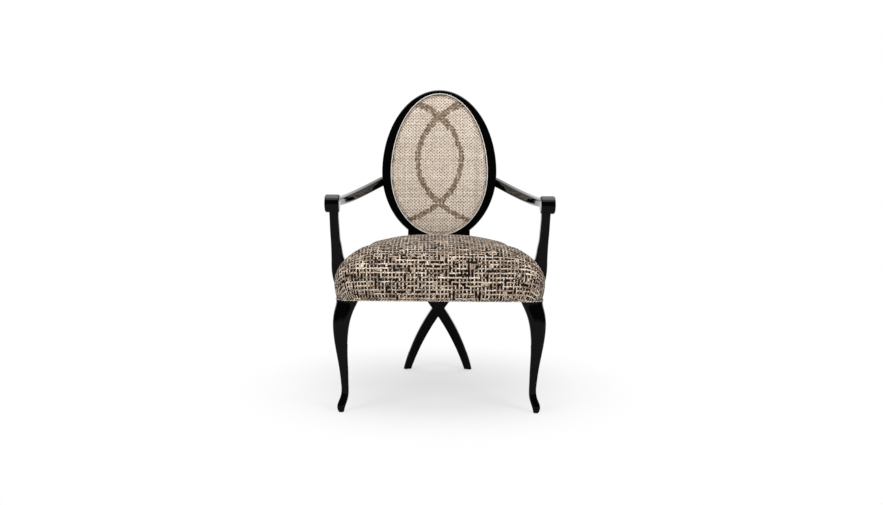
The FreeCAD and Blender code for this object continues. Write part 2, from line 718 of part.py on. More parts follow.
def ring_point(angle):
    """Middle of the oval frame at an angle, between its outer and inner edge."""
    turn = math.radians(angle)
    across = math.cos(turn)
    rise = math.sin(turn)
    outer_reach = SIZE["ring_rise"] if rise > 0 else SIZE["ring_drop"]
    outer = 1 / math.hypot(across / RING_HALF, rise / outer_reach)
    inner_reach = OPENING_RISE if rise > 0 else OPENING_DROP
    square = (across / OPENING_HALF) ** 2 + (rise / inner_reach) ** 2
    shift = SIZE["opening_lowering"] * rise / inner_reach ** 2
    rest = (SIZE["opening_lowering"] / inner_reach) ** 2 - 1
    inner = (math.sqrt(shift ** 2 - square * rest) - shift) / square
    return Vector(across, rise, 0) * ((outer + inner) / 2)


def ring_dowels():
    pegs = []
    joint = SIZE["ring_joint_angle"]
    for angle in (joint, 180 - joint, 180 + joint, 360 - joint):
        turn = math.radians(angle)
        along = RING_TURN.multVec(Vector(-math.sin(turn), math.cos(turn), 0))
        for share in RING_DOWEL_SHARES:
            flat = ring_point(angle) - Z_AXIS * (SIZE["ring_thickness"] * share)
            point = RING_PLACE.multVec(flat) + Y_AXIS * ORIGIN_Y
            pegs.append(dowel(f"ring_dowel_{len(pegs) + 1}", point, along, fine=True))
    return grouped("back_frame_dowels", pegs)


def neck_body():
    """Neck in side view: upright behind the rear rail, then leaning with the oval."""
    half = SIZE["neck_width"] / 2
    outer = egg_reach(half, RING_HALF, SIZE["ring_drop"])
    inner = egg_reach(half, OPENING_HALF, OPENING_DROP) + SIZE["opening_lowering"]
    top = -(outer + inner) / 2
    thickness = SIZE["ring_thickness"]
    front_top = RING_TURN.multVec(Vector(0, top, 0))
    back_top = RING_TURN.multVec(Vector(0, top, -thickness))
    lift = Vector(0, RING_SETBACK, RING_HEIGHT)
    bend_back = NECK_BEND - thickness * math.tan(RAKE / 2)
    corners = [
        Vector(0, NECK_FRONT, SIZE["rail_underside"]),
        Vector(0, NECK_FRONT + thickness, SIZE["rail_underside"]),
        Vector(0, NECK_FRONT + thickness, bend_back),
        lift + back_top,
        lift + front_top,
        Vector(0, NECK_FRONT, NECK_BEND),
    ]
    face = Part.Face(Part.makePolygon(corners + corners[:1]))
    face.translate(X_AXIS * -half)
    solid = face.extrude(X_AXIS * (2 * half))
    long_edges = [
        edge
        for edge in solid.Edges
        if edge.BoundBox.XLength < half and edge.BoundBox.ZLength > thickness
    ]
    return shaped("neck_blank", solid.makeFillet(SIZE["ring_edge_radius"], long_edges), placed(0, 0, 0))


def back_frame(dowels, neck, neck_tools, arm_pegs):
    """Crest, two stiles and the base with its neck."""
    joint = SIZE["ring_joint_angle"]
    opening = opening_plate(0, -2 * SIZE["ring_thickness"], SIZE["ring_thickness"])
    ring = ring_blank().cut(opening)
    crest = shaped("crest_blank", ring.common(sector(joint, 180 - joint)), RING_PLACE)
    stile = shaped("stile_blank", ring.common(sector(-joint, joint)), RING_PLACE)
    bow = shaped("base_bow", ring.common(sector(180 + joint, 360 - joint)), RING_PLACE)
    void = shaped("opening_void", opening, RING_PLACE)
    base = joined("base_blank", [bow, neck])
    right = cut("back_right_stile", stile, [dowels, arm_pegs])
    return [
        cut("back_crest", crest, [dowels, arm_pegs]),
        right,
        mirrored("back_left_stile", right),
        cut("back_base", base, [void, dowels, arm_pegs, *neck_tools]),
    ]


def neck_bolts():
    """Bolts from inside the seat through the rear rail into the neck, with washers."""
    bolts = []
    washers = []
    turn = Rotation(X_AXIS, -90)
    start = REAR_RAIL_FRONT - SIZE["washer_thickness"]
    for side in (-1, 1):
        for level in DOWEL_LEVELS:
            x = side * SIZE["neck_width"] * NECK_BOLT_SHARE
            name = f"neck_bolt_{len(bolts) + 1}"
            head_place = placed(x, start - SIZE["bolt_head_height"], level, turn)
            head = cylinder(name + "_head", "@bolt_head_diameter", "@bolt_head_height", head_place)
            shank = cylinder(name + "_shank", "@bolt_diameter", "@bolt_length", placed(x, start, level, turn))
            bolts.append(joined(name, [head, shank]))
            plate_place = placed(x, start, level, turn)
            plate = cylinder(name + "_plate", "@washer_diameter", "@washer_thickness", plate_place)
            bore = cylinder(name + "_bore", "@bolt_diameter", "@washer_thickness", plate_place)
            washers.append(cut(name + "_washer", plate, [bore]))
    return grouped("neck_bolts", bolts), grouped("neck_bolt_washers", washers)


# Back upholstery, drawn flat like the oval

def back_swell(inset, back, edge, crown):
    """Padded egg with straight sides up to its edge and a low crown over it."""
    wires = [opening_wire(inset, back), opening_wire(inset, edge)]
    sides = Part.makeLoft(wires, True, True)
    rise = crown - edge
    small = min(OPENING_HALF, OPENING_DROP) - inset
    levels = []
    for share in BACK_CROWN_SHARES:
        shrink = small * (1 - share)
        levels.append(opening_wire(inset + shrink, edge + rise * (1 - share ** BACK_CROWN_POWER)))
    return sides.fuse(Part.makeLoft(levels, True, False)).removeSplitter()


def biarc(start, start_along, end, end_along):
    """Two tangent arcs between two points that keep the directions at both."""
    chord = end - start
    along = chord.dot(start_along + end_along)
    turn = 2 * (1 - start_along.dot(end_along))
    reach = (math.sqrt(along ** 2 + turn * chord.dot(chord)) - along) / turn
    middle = (start + start_along * reach + end - end_along * reach) * 0.5
    return [tangent_arc(start, start_along, middle), tangent_arc(end, end_along * -1, middle)]


def egg_of_arcs(wire):
    """The same outline as tangent arcs, eight to each half ellipse."""
    edges = []
    for quarter in wire.Edges:
        first, last = quarter.ParameterRange
        turns = [first + (last - first) * share for share in EGG_ARC_SHARES]
        for start, end in zip(turns, turns[1:]):
            start_point, start_along = quarter.valueAt(start), quarter.tangentAt(start)
            end_point, end_along = quarter.valueAt(end), quarter.tangentAt(end)
            edges += biarc(start_point, start_along, end_point, end_along)
    return Part.Wire(Part.__sortEdges__(edges))


def cord_loop(path, diameter):
    """Round cord along a closed wire, with a seam square to the wire's first edge."""
    first = path.OrderedEdges[0]
    start = first.valueAt(first.FirstParameter)
    along = first.tangentAt(first.FirstParameter)
    profile = Part.Wire(Part.makeCircle(diameter / 2, start, along))
    return path.makePipeShell([profile], True, False)


def back_upholstery():
    thickness = SIZE["ring_thickness"]
    piping = SIZE["piping_diameter"]
    skin = SIZE["cover_thickness"]
    board_front = -SIZE["board_setback"]
    board_back = board_front - SIZE["board_thickness"]
    edge = -SIZE["back_edge_setback"]
    crown = edge + SIZE["back_crown"]
    outer_front = SIZE["outer_cover_thickness"] - thickness
    padding = back_swell(piping + skin, board_front, edge - skin, crown - skin)
    cover = back_swell(piping, board_front, edge, crown).cut(padding)
    pieces = [
        shaped("back_board", opening_plate(0, board_back, board_front), RING_PLACE),
        shaped("back_padding", padding, RING_PLACE),
        shaped("back_cover", cover, RING_PLACE),
        shaped("back_rear_wadding", opening_plate(piping, outer_front, board_back), RING_PLACE),
        shaped("back_outer_cover", opening_plate(piping, -thickness, outer_front), RING_PLACE),
    ]
    for name, level in (("back_piping", -piping / 2), ("back_outer_piping", piping / 2 - thickness)):
        cord = cord_loop(egg_of_arcs(opening_wire(piping / 2, level)), piping)
        pieces.append(shaped(name, cord, RING_PLACE))
    return pieces


# Arms

def arm_point(turn):
    """Middle of the right arm at a plan angle from its scroll, in radians."""
    radius = SIZE["arm_sweep_radius"]
    x = ARM_AXIS - radius + radius * math.cos(turn)
    y = SIZE["scroll_setback"] + radius * math.sin(turn)
    return Vector(x, y, arm_height(y))


def arm_height(y):
    climb = max(0.0, y - SIZE["arm_rise_start"])
    radius = SIZE["arm_rise_radius"]
    return SIZE["arm_level"] + radius - math.sqrt(radius ** 2 - climb ** 2)


def arm_joint():
    """Middle of the face where the right arm meets the edge of the oval."""
    lift = SIZE["arm_level"]
    half_thickness = SIZE["ring_thickness"] / (2 * math.cos(RAKE))
    for _ in range(6):
        y = RING_SETBACK + (lift - RING_HEIGHT) * math.tan(RAKE) + half_thickness
        lift = arm_height(y)
    drop = (RING_HEIGHT - lift) / math.cos(RAKE)
    reach = SIZE["ring_drop"] if drop > 0 else SIZE["ring_rise"]
    return Vector(RING_HALF * math.sqrt(1 - (drop / reach) ** 2), y, lift)


def arm_blank():
    joint = arm_joint()
    overrun = 2 * SIZE["ring_thickness"] / SIZE["arm_sweep_radius"]
    end = math.asin((joint.y - SIZE["scroll_setback"]) / SIZE["arm_sweep_radius"]) + overrun
    step = overrun / len(ARM_SHARES) ** 2
    wires = []
    for share in ARM_SHARES:
        turn = end * share
        along = (arm_point(turn + step) - arm_point(turn - step)).normalize()
        side = Vector(math.cos(turn), math.sin(turn), 0)
        rise = side.cross(along).normalize()
        corners = framed_corners(arm_point(turn), side, rise, SIZE["arm_width"], SIZE["arm_depth"])
        wires.append(rounded_wire(corners, [SIZE["arm_edge_radius"]] * 4))
    bar = Part.makeLoft(wires, True, False)
    reach = 2 * SIZE["ring_rise"]
    ahead = Part.makeBox(2 * reach, 2 * reach, reach, Vector(-reach, -reach, -SIZE["ring_thickness"]))
    ring = ring_blank()
    ring.Placement = Placement(Vector(0, RING_SETBACK, RING_HEIGHT), RING_TURN)
    ahead.Placement = ring.Placement.multiply(ahead.Placement)
    return shaped("arm_blank", bar.common(ahead).cut(ring), placed(0, 0, 0))


def scroll_body():
    """Round end of the right arm, turned about its own axis along X."""
    body = doc.addObject("PartDesign::Body", "scroll_blank")
    half = "@scroll_length / 2"
    rim = "@scroll_diameter / 2"
    corners = [
        (f"-{half}", "0"),
        (f"-{half}", f"{rim} - @scroll_bevel"),
        (f"@scroll_bevel - {half}", rim),
        (f"{half} - @scroll_bevel", rim),
        (half, f"{rim} - @scroll_bevel"),
    ]
    for rise_share, reach_share in SCROLL_DOME_SHARES:
        corners.append((f"{half} + @scroll_dome * {rise_share}", f"{rim} * {reach_share}"))
    turned = body.newObject("PartDesign::Revolution", "scroll_turned")
    turned.Profile = sketched(body, "XY_Plane", corners)
    turned.ReferenceAxis = (turned.Profile[0], ["H_Axis"])
    turned.Angle = 360
    body.Tip = turned
    body.Placement = placed(ARM_AXIS + SIZE["scroll_offset"], SIZE["scroll_setback"], SCROLL_HEIGHT)
    return body


def post_blank():
    """Right arm post, which leans in and sweeps back from the scroll to the side rail."""
    foot = SIZE["rail_underside"] + SIZE["post_lift"]
    lean = ARM_AXIS - side_face(POST_FOOT_Y) - SIZE["post_foot_offset"]
    wires = []
    for height_share, lean_share, width_share, sweep_share, depth_share in POST_SHARES:
        middle = Vector(
            ARM_AXIS - lean * lean_share,
            SIZE["scroll_setback"] + SIZE["post_sweep"] * sweep_share,
            foot + (SCROLL_HEIGHT - foot) * height_share,
        )
        width = SIZE["arm_width"] * width_share
        depth = SIZE["post_depth"] * depth_share
        corners = framed_corners(middle, X_AXIS, Y_AXIS, width, depth)
        wires.append(rounded_wire(corners, [min(width, depth) * POST_CORNER_SHARE] * 4))
    return shaped("post_blank", Part.makeLoft(wires, True, False), placed(0, 0, 0))


def arm_dowels():
    """Pegs between arm and scroll, post and scroll, arm and oval."""
    pegs = []
    radius = SIZE["scroll_diameter"] / 2
    joint = arm_joint()
    points = (
        (Vector(ARM_AXIS, SIZE["scroll_setback"] + radius, SCROLL_HEIGHT), Y_AXIS),
        (Vector(ARM_AXIS, SIZE["scroll_setback"], SCROLL_HEIGHT - radius), Z_AXIS),
        (joint, X_AXIS),
    )
    for side in (-1, 1):
        for point, direction in points:
            place = Vector(side * point.x, point.y, point.z)
            pegs.append(dowel(f"arm_dowel_{len(pegs) + 1}", place, direction, fine=True))
    return grouped("arm_dowels", pegs)


def post_screws():
    """Two screws a side from inside the side rail into the foot of the arm post."""
    screws = []
    outward = Vector(1, SIDE_TAPER, 0).normalize()
    face = Vector(side_face(POST_FOOT_Y), POST_FOOT_Y, 0) - outward * SIZE["rail_thickness"]
    for side in (-1, 1):
        for level in DOWEL_LEVELS:
            head = Vector(side * face.x, face.y, level)
            direction = Vector(side * outward.x, outward.y, 0)
            name = f"post_screw_{len(screws) + 1}"
            screws.append(screw(name, head, direction, "@post_screw_length"))
    return grouped("arm_post_screws", screws)


# Seat upholstery

SEAT_BACK = NECK_FRONT + SIZE["seat_swell"]
SEAT_MIDDLE = (REACH_FRONT + SEAT_BACK) / 2


def seat_corners(offset, scale, height):
    """Plan of the seat: the lines of the rails moved out by an offset, then scaled."""
    front = FRONT_FACE - offset
    back = NECK_FRONT + offset
    corners = []
    for side, y in ((-1, front), (1, front), (1, back), (-1, back)):
        x = side * (side_face(y) + offset * SIDE_SLANT)
        corners.append(Vector(x * scale, SEAT_MIDDLE + (y - SEAT_MIDDLE) * scale, height))
    return corners


def seat_radii(offset, scale):
    """Corners that follow those of the frame, rounder the nearer they are to the crown."""
    depth = NECK_FRONT - FRONT_FACE + 2 * offset
    full = min(SIZE["seat_round_radius"], ROUND_LIMIT_SHARE * depth)
    radii = []
    for corner in ("post", "post", "rear", "rear"):
        radius = SIZE[corner + "_corner_radius"] + offset
        radius += (full - radius) * (1 - scale ** 2)
        radii.append(radius * scale)
    return radii


def seat_form(skin):
    """Drawn in at the hem, widest at the waist, then a round shoulder and a flat crown."""
    swell = SIZE["seat_swell"] - skin
    crown = SEAT_CROWN - skin
    half = HALF_FRONT + swell
    flat = SIZE["seat_crown_radius"]
    depth = SEAT_WAIST - crown + flat
    shoulder = (flat ** 2 - half ** 2 - depth ** 2) / (2 * (flat - half))
    lean = math.atan2(half - shoulder, depth)
    stations = []
    for share in HEM_SHARES:
        height = SIZE["rail_underside"] + SIZE["seat_waist_height"] * share
        stations.append((height, cover_reach(height) - skin, 1.0))
    for share in SHOULDER_SHARES:
        turn = (math.pi / 2 - lean) * share
        reach = half - shoulder + shoulder * math.cos(turn)
        stations.append((SEAT_WAIST + shoulder * math.sin(turn), swell, reach / half))
    for share in CROWN_SHARES:
        turn = lean * share
        height = crown - flat + flat * math.cos(turn)
        stations.append((height, swell, flat * math.sin(turn) / half))
    wires = []
    for height, offset, scale in stations:
        corners = seat_corners(offset, scale, height)
        wires.append(rounded_wire(corners, seat_radii(offset, scale)))
    return Part.makeLoft(wires, True, False)


def frame_prism():
    """Space inside the outer faces of the rails, up to the top of the webbing."""
    bottom = SIZE["rail_underside"] - SIZE["trim_diameter"]
    corners = [
        Vector(-HALF_FRONT, FRONT_FACE, bottom),
        Vector(HALF_FRONT, FRONT_FACE, bottom),
        Vector(HALF_FRONT, POST_BACK, bottom),
        Vector(side_face(NECK_FRONT), NECK_FRONT, bottom),
        Vector(-side_face(NECK_FRONT), NECK_FRONT, bottom),
        Vector(-HALF_FRONT, POST_BACK, bottom),
    ]
    outline = Part.Face(Part.makePolygon(corners + corners[:1]))
    prism = outline.extrude(Z_AXIS * (WEBBING_TOP - bottom))
    upright = [edge for edge in prism.Edges if edge.BoundBox.ZLength > SIZE["rail_height"]]
    front = [edge for edge in upright if edge.BoundBox.YMax < 0]
    prism = prism.makeFillet(SIZE["post_corner_radius"], front)
    rear = [edge for edge in prism.Edges if edge.BoundBox.YMin > REAR_RAIL_FRONT]
    rear = [edge for edge in rear if edge.BoundBox.ZLength > SIZE["rail_height"]]
    return prism.makeFillet(SIZE["rear_corner_radius"], rear)


def seat_upholstery(through, screws):
    """Padding and cover of the seat, open where posts and neck pass through."""
    inner = seat_form(SIZE["cover_thickness"])
    level = SIZE["rail_underside"]
    reach = SIZE["seat_front_width"]
    above = Part.makeBox(2 * reach, 2 * reach, reach, Vector(-reach, -reach, level))
    shell = seat_form(0).cut(inner).common(above)
    body = inner.common(above).cut(frame_prism())
    padding = shaped("seat_padding_blank", body, placed(0, 0, 0))
    cover = shaped("seat_cover_blank", shell, placed(0, 0, 0))
    return [cut("seat_padding", padding, [*through, screws]), cut("seat_cover", cover, through)]


def seat_trim(through):
    """Cord along the hem, outside the cover."""
    radius = SIZE["trim_diameter"] / 2
    corners = seat_corners(TRIM_REACH + radius, 1.0, SIZE["rail_underside"] + radius)
    path = rounded_wire(corners, seat_radii(TRIM_REACH + radius, 1.0))
    cord = shaped("seat_trim_blank", cord_loop(path, SIZE["trim_diameter"]), placed(0, 0, 0))
    return cut("seat_trim", cord, through)


def webbing():
    """Bands across the rails, and bands from front to back over them."""
    half_band = SIZE["webbing_width"] / 2
    overlap = SIZE["rail_thickness"] * WEB_HOLD_SHARE
    across = []
    along = []
    inner_front = FRONT_FACE + SIZE["rail_thickness"]
    middle = (inner_front + REAR_RAIL_FRONT) / 2
    for step in (-2, -1, 0, 1, 2):
        y = middle + step * SIZE["webbing_pitch"]
        reach = side_face(y + half_band) - SIZE["rail_thickness"] * SIDE_SLANT + overlap
        band = Part.makeBox(
            2 * reach,
            SIZE["webbing_width"],
            SIZE["webbing_thickness"],
            Vector(-reach, y - half_band, RAIL_TOP),
        )
        across.append(shaped(f"cross_band_{len(across) + 1}", band, placed(0, 0, 0)))
        name = f"long_band_{len(along) + 1}"
        place = placed(
            step * SIZE["webbing_pitch"] - half_band,
            inner_front - overlap,
            RAIL_TOP + SIZE["webbing_thickness"],
        )
        length = f"@seat_depth + @leg_inset - @rear_rail_thickness + {2 * WEB_HOLD_SHARE - 1} * @rail_thickness"
        along.append(box(name, "@webbing_width", length, "@webbing_thickness", place))
    return [grouped("webbing_across", across), grouped("webbing_lengthwise", along)]


def dust_cover():
    """Cloth under the rails, notched at the front legs."""
    inset = SIZE["dust_cover_inset"]
    bottom = SIZE["rail_underside"] - SIZE["dust_cover_thickness"]
    front = FRONT_FACE + inset
    back = NECK_FRONT - inset
    notch = FRONT_FACE + SIZE["knee_width"] + inset
    right = [
        Vector(HALF_FRONT - SIZE["knee_width"] - inset, front, bottom),
        Vector(HALF_FRONT - SIZE["knee_width"] - inset, notch, bottom),
        Vector(side_face(notch) - inset, notch, bottom),
        Vector(side_face(back) - inset, back, bottom),
    ]
    left = [Vector(-corner.x, corner.y, corner.z) for corner in reversed(right)]
    corners = right + left
    solid = Part.Face(Part.makePolygon(corners + corners[:1])).extrude(Z_AXIS * SIZE["dust_cover_thickness"])
    return shaped("dust_cover", solid, placed(0, 0, 0))


# Assembly

rail_pegs = rail_dowels()
block_bolts = block_screws()
leg_pegs = rear_leg_dowels()
lap_plug, lap_screw = lap_fasteners()
glides = foot_glides()
bolts, washers = neck_bolts()
frame_pegs = ring_dowels()
arm_pegs = arm_dowels()
arm_screws = post_screws()

pieces = [rail_pegs, block_bolts, leg_pegs, lap_plug, lap_screw, glides, bolts, washers]
pieces += [frame_pegs, arm_pegs, arm_screws]

pieces.append(front_rail([rail_pegs, block_bolts]))
pieces.append(rear_rail([rail_pegs, block_bolts, bolts]))
right_rail = side_rail([rail_pegs, block_bolts, arm_screws])
pieces += [right_rail, mirrored("seat_left_rail", right_rail)]
for block_name, at_front in (("front_corner_block", True), ("rear_corner_block", False)):
    block = corner_block(block_name, at_front, block_bolts)
    pieces += [block, mirrored(block_name + "_left", block)]

right_leg = front_leg([rail_pegs, block_bolts, glides])
left_leg = mirrored("front_left_leg", right_leg)
pieces += [right_leg, left_leg]
for leg_name, leg_side in (("rear_left_leg", -1), ("rear_right_leg", 1)):
    pieces.append(rear_leg(leg_name, leg_side, [leg_pegs, lap_plug, lap_screw, glides]))

neck = neck_body()
pieces += back_frame(frame_pegs, neck, [bolts, leg_pegs], arm_pegs)
pieces += back_upholstery()

scroll_blank = scroll_body()
right_scroll = cut("right_arm_scroll", scroll_blank, [arm_pegs])
right_arm = cut("right_arm", arm_blank(), [scroll_blank, arm_pegs])
post_bar = post_blank()
right_post = cut("right_arm_post", post_bar, [scroll_blank, right_rail, arm_pegs, arm_screws])
pieces += [right_scroll, mirrored("left_arm_scroll", right_scroll)]
pieces += [right_arm, mirrored("left_arm", right_arm)]
pieces += [right_post, mirrored("left_arm_post", right_post)]

oval = shaped("oval_passage", ring_blank(), RING_PLACE)
passages = [post_bar, mirrored("left_post_blank", post_bar), neck, oval]
pieces += seat_upholstery(passages, arm_screws)
pieces.append(seat_trim(passages))
pieces += webbing()
pieces.append(dust_cover())

doc.recompute()

faults = [item.Name for item in doc.Objects if "Invalid" in item.State or "Error" in item.State]
for piece in pieces:
    piece.Label = piece.Name
    if piece.Shape.isNull() or not piece.Shape.isValid() or not piece.Shape.Solids:
        faults.append(piece.Name)
if faults:
    raise RuntimeError("not sound: " + ", ".join(faults))

os.makedirs("parts", exist_ok=True)
for piece in pieces:
    piece.Shape.exportStep(f"parts/{piece.Label}.step")
    print(piece.Label, len(piece.Shape.Solids), "solids", round(piece.Shape.Volume), "mm3")
whole = Part.makeCompound([piece.Shape for piece in pieces]).BoundBox
print("box", [round(value, 2) for value in (whole.XMin, whole.XMax, whole.YMin, whole.YMax, whole.ZMin, whole.ZMax)])
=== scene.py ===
import json
import math

import bpy
import numpy as np
from mathutils import Matrix, Vector
from mathutils.bvhtree import BVHTree

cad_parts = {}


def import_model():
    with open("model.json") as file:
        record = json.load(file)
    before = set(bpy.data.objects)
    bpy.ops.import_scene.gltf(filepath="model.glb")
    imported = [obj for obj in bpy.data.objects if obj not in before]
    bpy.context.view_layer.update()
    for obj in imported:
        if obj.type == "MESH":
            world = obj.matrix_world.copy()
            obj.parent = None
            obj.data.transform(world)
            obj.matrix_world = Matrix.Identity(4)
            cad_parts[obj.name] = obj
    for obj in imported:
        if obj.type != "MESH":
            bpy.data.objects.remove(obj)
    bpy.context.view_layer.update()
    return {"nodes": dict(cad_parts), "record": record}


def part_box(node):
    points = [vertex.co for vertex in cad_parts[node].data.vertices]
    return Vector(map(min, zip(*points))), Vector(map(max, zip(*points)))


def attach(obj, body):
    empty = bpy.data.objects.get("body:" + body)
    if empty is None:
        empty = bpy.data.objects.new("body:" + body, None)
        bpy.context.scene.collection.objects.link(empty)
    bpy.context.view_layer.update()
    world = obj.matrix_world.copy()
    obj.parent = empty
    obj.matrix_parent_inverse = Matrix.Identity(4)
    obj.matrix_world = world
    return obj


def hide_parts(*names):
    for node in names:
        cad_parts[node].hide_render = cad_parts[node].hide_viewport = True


# Looks of the oval back armchair. Metres. X runs to the right seen from the front, Y to the
# back and Z up. The seat's plan comes from the rails, and the oval stands on the neck.

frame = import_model()

front_rail_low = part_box("seat_front_rail")[0]
side_rail_low, side_rail_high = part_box("seat_right_rail")
rear_rail_low, rear_rail_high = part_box("seat_rear_rail")
cover_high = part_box("seat_cover")[1]

# Seat, with its plan from the rails: a swell at the waist, a rounded shoulder and a flat crown
HALF_FRONT = side_rail_high.x
HALF_REAR = rear_rail_high.x
FRONT_FACE = front_rail_low.y
POST_BACK = side_rail_low.y
REAR_RAIL_FRONT = rear_rail_low.y
NECK_FRONT = rear_rail_high.y
UNDERSIDE = side_rail_low.z
SEAT_TOP = cover_high.z
SEAT_WAIST = 0.382
SEAT_SWELL = 0.0135
HEM_INSET = 0.0095
CROWN_RADIUS = 1.3
ROUND_RADIUS = 0.230
FRONT_CORNER = 0.028
REAR_CORNER = 0.014
SHOULDER_STEPS = 14
CROWN_STEPS = 20
LIP_WIDTH = 0.012
FOLD_WIDTH = 0.006
FOLD_RISE = 0.014
SIDE_TAPER = (HALF_FRONT - HALF_REAR) / (REAR_RAIL_FRONT - POST_BACK)
SIDE_SLANT = math.hypot(1, SIDE_TAPER)
SEAT_MIDDLE = (FRONT_FACE + NECK_FRONT) / 2
HALF_DEPTH = (NECK_FRONT - FRONT_FACE) / 2

# Rounding of the crown behind the seat's middle, with places across in half widths
SHOULDER_FILL = 0.010
FILL_START = 0.45
FILL_SPAN = 0.35
CROWN_EASE = 0.013
EASE_CENTRE = 0.72
EASE_SPAN = 0.22
ROUNDING_START = 0.6

# Trim along the hem, and how far the cloth is drawn in beside the arm posts
TRIM_DIAMETER = 0.005
TRIM_TWIST = 0.0085
TRIM_STEP = 0.0014
TRIM_SIDES = 6
NECK_HALF = 0.106
TUCK_REACH = 0.022
TUCK_DEPTH = 0.0035

# Oval back, in its own plane: X across, Y up the slope, Z to the front
RAKE = math.radians(12)
WIDEST_HEIGHT = 0.6875
BEND_HEIGHT = 0.420
OPENING_HALF = 0.166
OPENING_RISE = 0.278
OPENING_DROP = 0.2137
OPENING_LOWERING = 0.0054
RING_THICKNESS = 0.032
PIPING = 0.0036
COVER_EDGE = -0.004
COVER_CROWN = 0.008
BOARD_FRONT = -0.012
BOARD_BACK = -0.020
CROWN_POWER = 2.4
PAD_INSET = PIPING * 0.8
PAD_STEPS = 30
HELD_DEPTH = 0.003
OUTER_EDGE_SINK = 0.001
OUTER_CROWN_RISE = 0.003
SEAM_INSET = 0.0098
GROOVE_HALF_WIDTH = 0.0035
GROOVE_DEPTH = 0.0014
OVAL_PLACE = Matrix.Translation(
    (0, NECK_FRONT + (WIDEST_HEIGHT - BEND_HEIGHT) * math.tan(RAKE), WIDEST_HEIGHT)
) @ Matrix.Rotation(math.pi / 2 - RAKE, 4, "X")

# Bands across the back: each runs along the right part of one ellipse, or its mirror image
BAND_HALF_WIDTH = 0.0087
BAND_CENTRE = (-0.216, 0.0395)
BAND_REACH = (0.290, 0.224)

# Weaves: widths of a column and a row, and the light yarn's share of a light and dark pair
SEAT_PITCH = (0.0054, 0.0064)
BACK_PITCH = (0.0060, 0.0054)
LIGHT_SHARE = 0.38

# Simulation of the padded pieces, and how far it may move them
VOXEL = 0.006
PRESSURE = 4.0
STRETCH_STIFFNESS = 20
BEND_STIFFNESS = 1.0
SIM_FRAMES = 20
SIM_SHRINK = 0.0006
SIM_PULL_IN = 0.0008
SIM_REACH = 0.004

# Studio
CAMERA_SENSOR = 36
CAMERA_LENS = 39.5
CAMERA_SHIFT = -0.026
CAMERA_HEIGHT = 0.800
CAMERA_DISTANCE = 2.775
CAMERA_PITCH = 6.72
CAMERA_ROLL = -0.5
CAMERA_TURN = -0.56
LEG_AXIS_DEPTH = 0.007
FLOOR_HALF = 30
WORLD_LIGHT = 0.40
SIDE_LAMP = (2.2, -2.4, 2.1)
SIDE_LAMP_SIZE = (1.4, 1.6)
SIDE_LAMP_POWER = 52
SIDE_LAMP_TARGET = (0, 0, 0.5)
TOP_LAMP = (0, 0.3, 3.2)
TOP_LAMP_SIZE = (2.6, 2.6)
TOP_LAMP_POWER = 42
TOP_LAMP_TARGET = (0, 0, 0.4)


class Surface:
    """A material's nodes, made with short calls."""

    def __init__(self, name, color, roughness):
        self.material = bpy.data.materials.new(name)
        self.material.use_nodes = True
        self.tree = self.material.node_tree
        self.shader = next(node for node in self.tree.nodes if node.type == "BSDF_PRINCIPLED")
        self.shader.inputs["Base Color"].default_value = (*color, 1)
        self.shader.inputs["Roughness"].default_value = roughness
        self.material.diffuse_color = (*color, 1)

    def feed(self, socket, value):
        if isinstance(value, bpy.types.NodeSocket):
            self.tree.links.new(value, socket)
        elif value is not None:
            socket.default_value = value

    def node(self, kind, *values, **settings):
        made = self.tree.nodes.new("ShaderNode" + kind)
        for key, value in settings.items():
            setattr(made, key, value)
        for socket, value in zip(made.inputs, values):
            self.feed(socket, value)
        return made

    def calc(self, operation, *values):
        return self.node("Math", *values, operation=operation).outputs[0]

    def point(self, x, y, z):
        return self.node("CombineXYZ", x, y, z).outputs[0]

    def chance(self, x, y=0.0, z=0.0):
        """The same random number from 0 to 1 wherever the three values are the same."""
        made = self.node("TexWhiteNoise", noise_dimensions="3D")
        self.feed(made.inputs["Vector"], self.point(x, y, z))
        return made.outputs["Value"]

    def noise(self, vector, scale, detail=2.0):
        made = self.node("TexNoise")
        self.feed(made.inputs["Vector"], vector)
        self.feed(made.inputs["Scale"], scale)
        self.feed(made.inputs["Detail"], detail)
        return made.outputs["Fac"]

    def ramp(self, value, stops):
        """Colour of a value between stops of (value, colour)."""
        made = self.node("ValToRGB", value)
        elements = made.color_ramp.elements
        while len(elements) < len(stops):
            elements.new(1.0)
        for element, (place, color) in zip(elements, stops):
            element.position = place
            element.color = (*color, 1)
        return made.outputs["Color"]

    def blend(self, share, first, second, mode="MIX"):
        """First colour where the share is 0, second where it is 1."""
        made = self.node("Mix", data_type="RGBA", blend_type=mode)
        self.feed(made.inputs[0], share)
        self.feed(made.inputs[6], first)
        self.feed(made.inputs[7], second)
        return made.outputs[2]

    def between(self, value, low, high, out_low=0.0, out_high=1.0):
        """Smooth step of a value from one range to another."""
        made = self.node("MapRange", value, low, high, out_low, out_high, interpolation_type="SMOOTHSTEP")
        return made.outputs[0]

    def place(self):
        return self.node("TexCoord").outputs["Object"]

    def shaded(self, color, shade):
        """Colour times a grey."""
        grey = self.node("CombineColor", shade, shade, shade).outputs[0]
        self.color(self.blend(1.0, color, grey, "MULTIPLY"))

    def bump(self, height, distance, strength):
        made = self.node("Bump")
        self.feed(made.inputs["Strength"], strength)
        self.feed(made.inputs["Distance"], distance)
        self.feed(made.inputs["Height"], height)
        self.feed(self.shader.inputs["Normal"], made.outputs[0])

    def color(self, value):
        self.feed(self.shader.inputs["Base Color"], value)

    def set(self, **values):
        for name, value in values.items():
            self.shader.inputs[name.replace("_", " ")].default_value = value


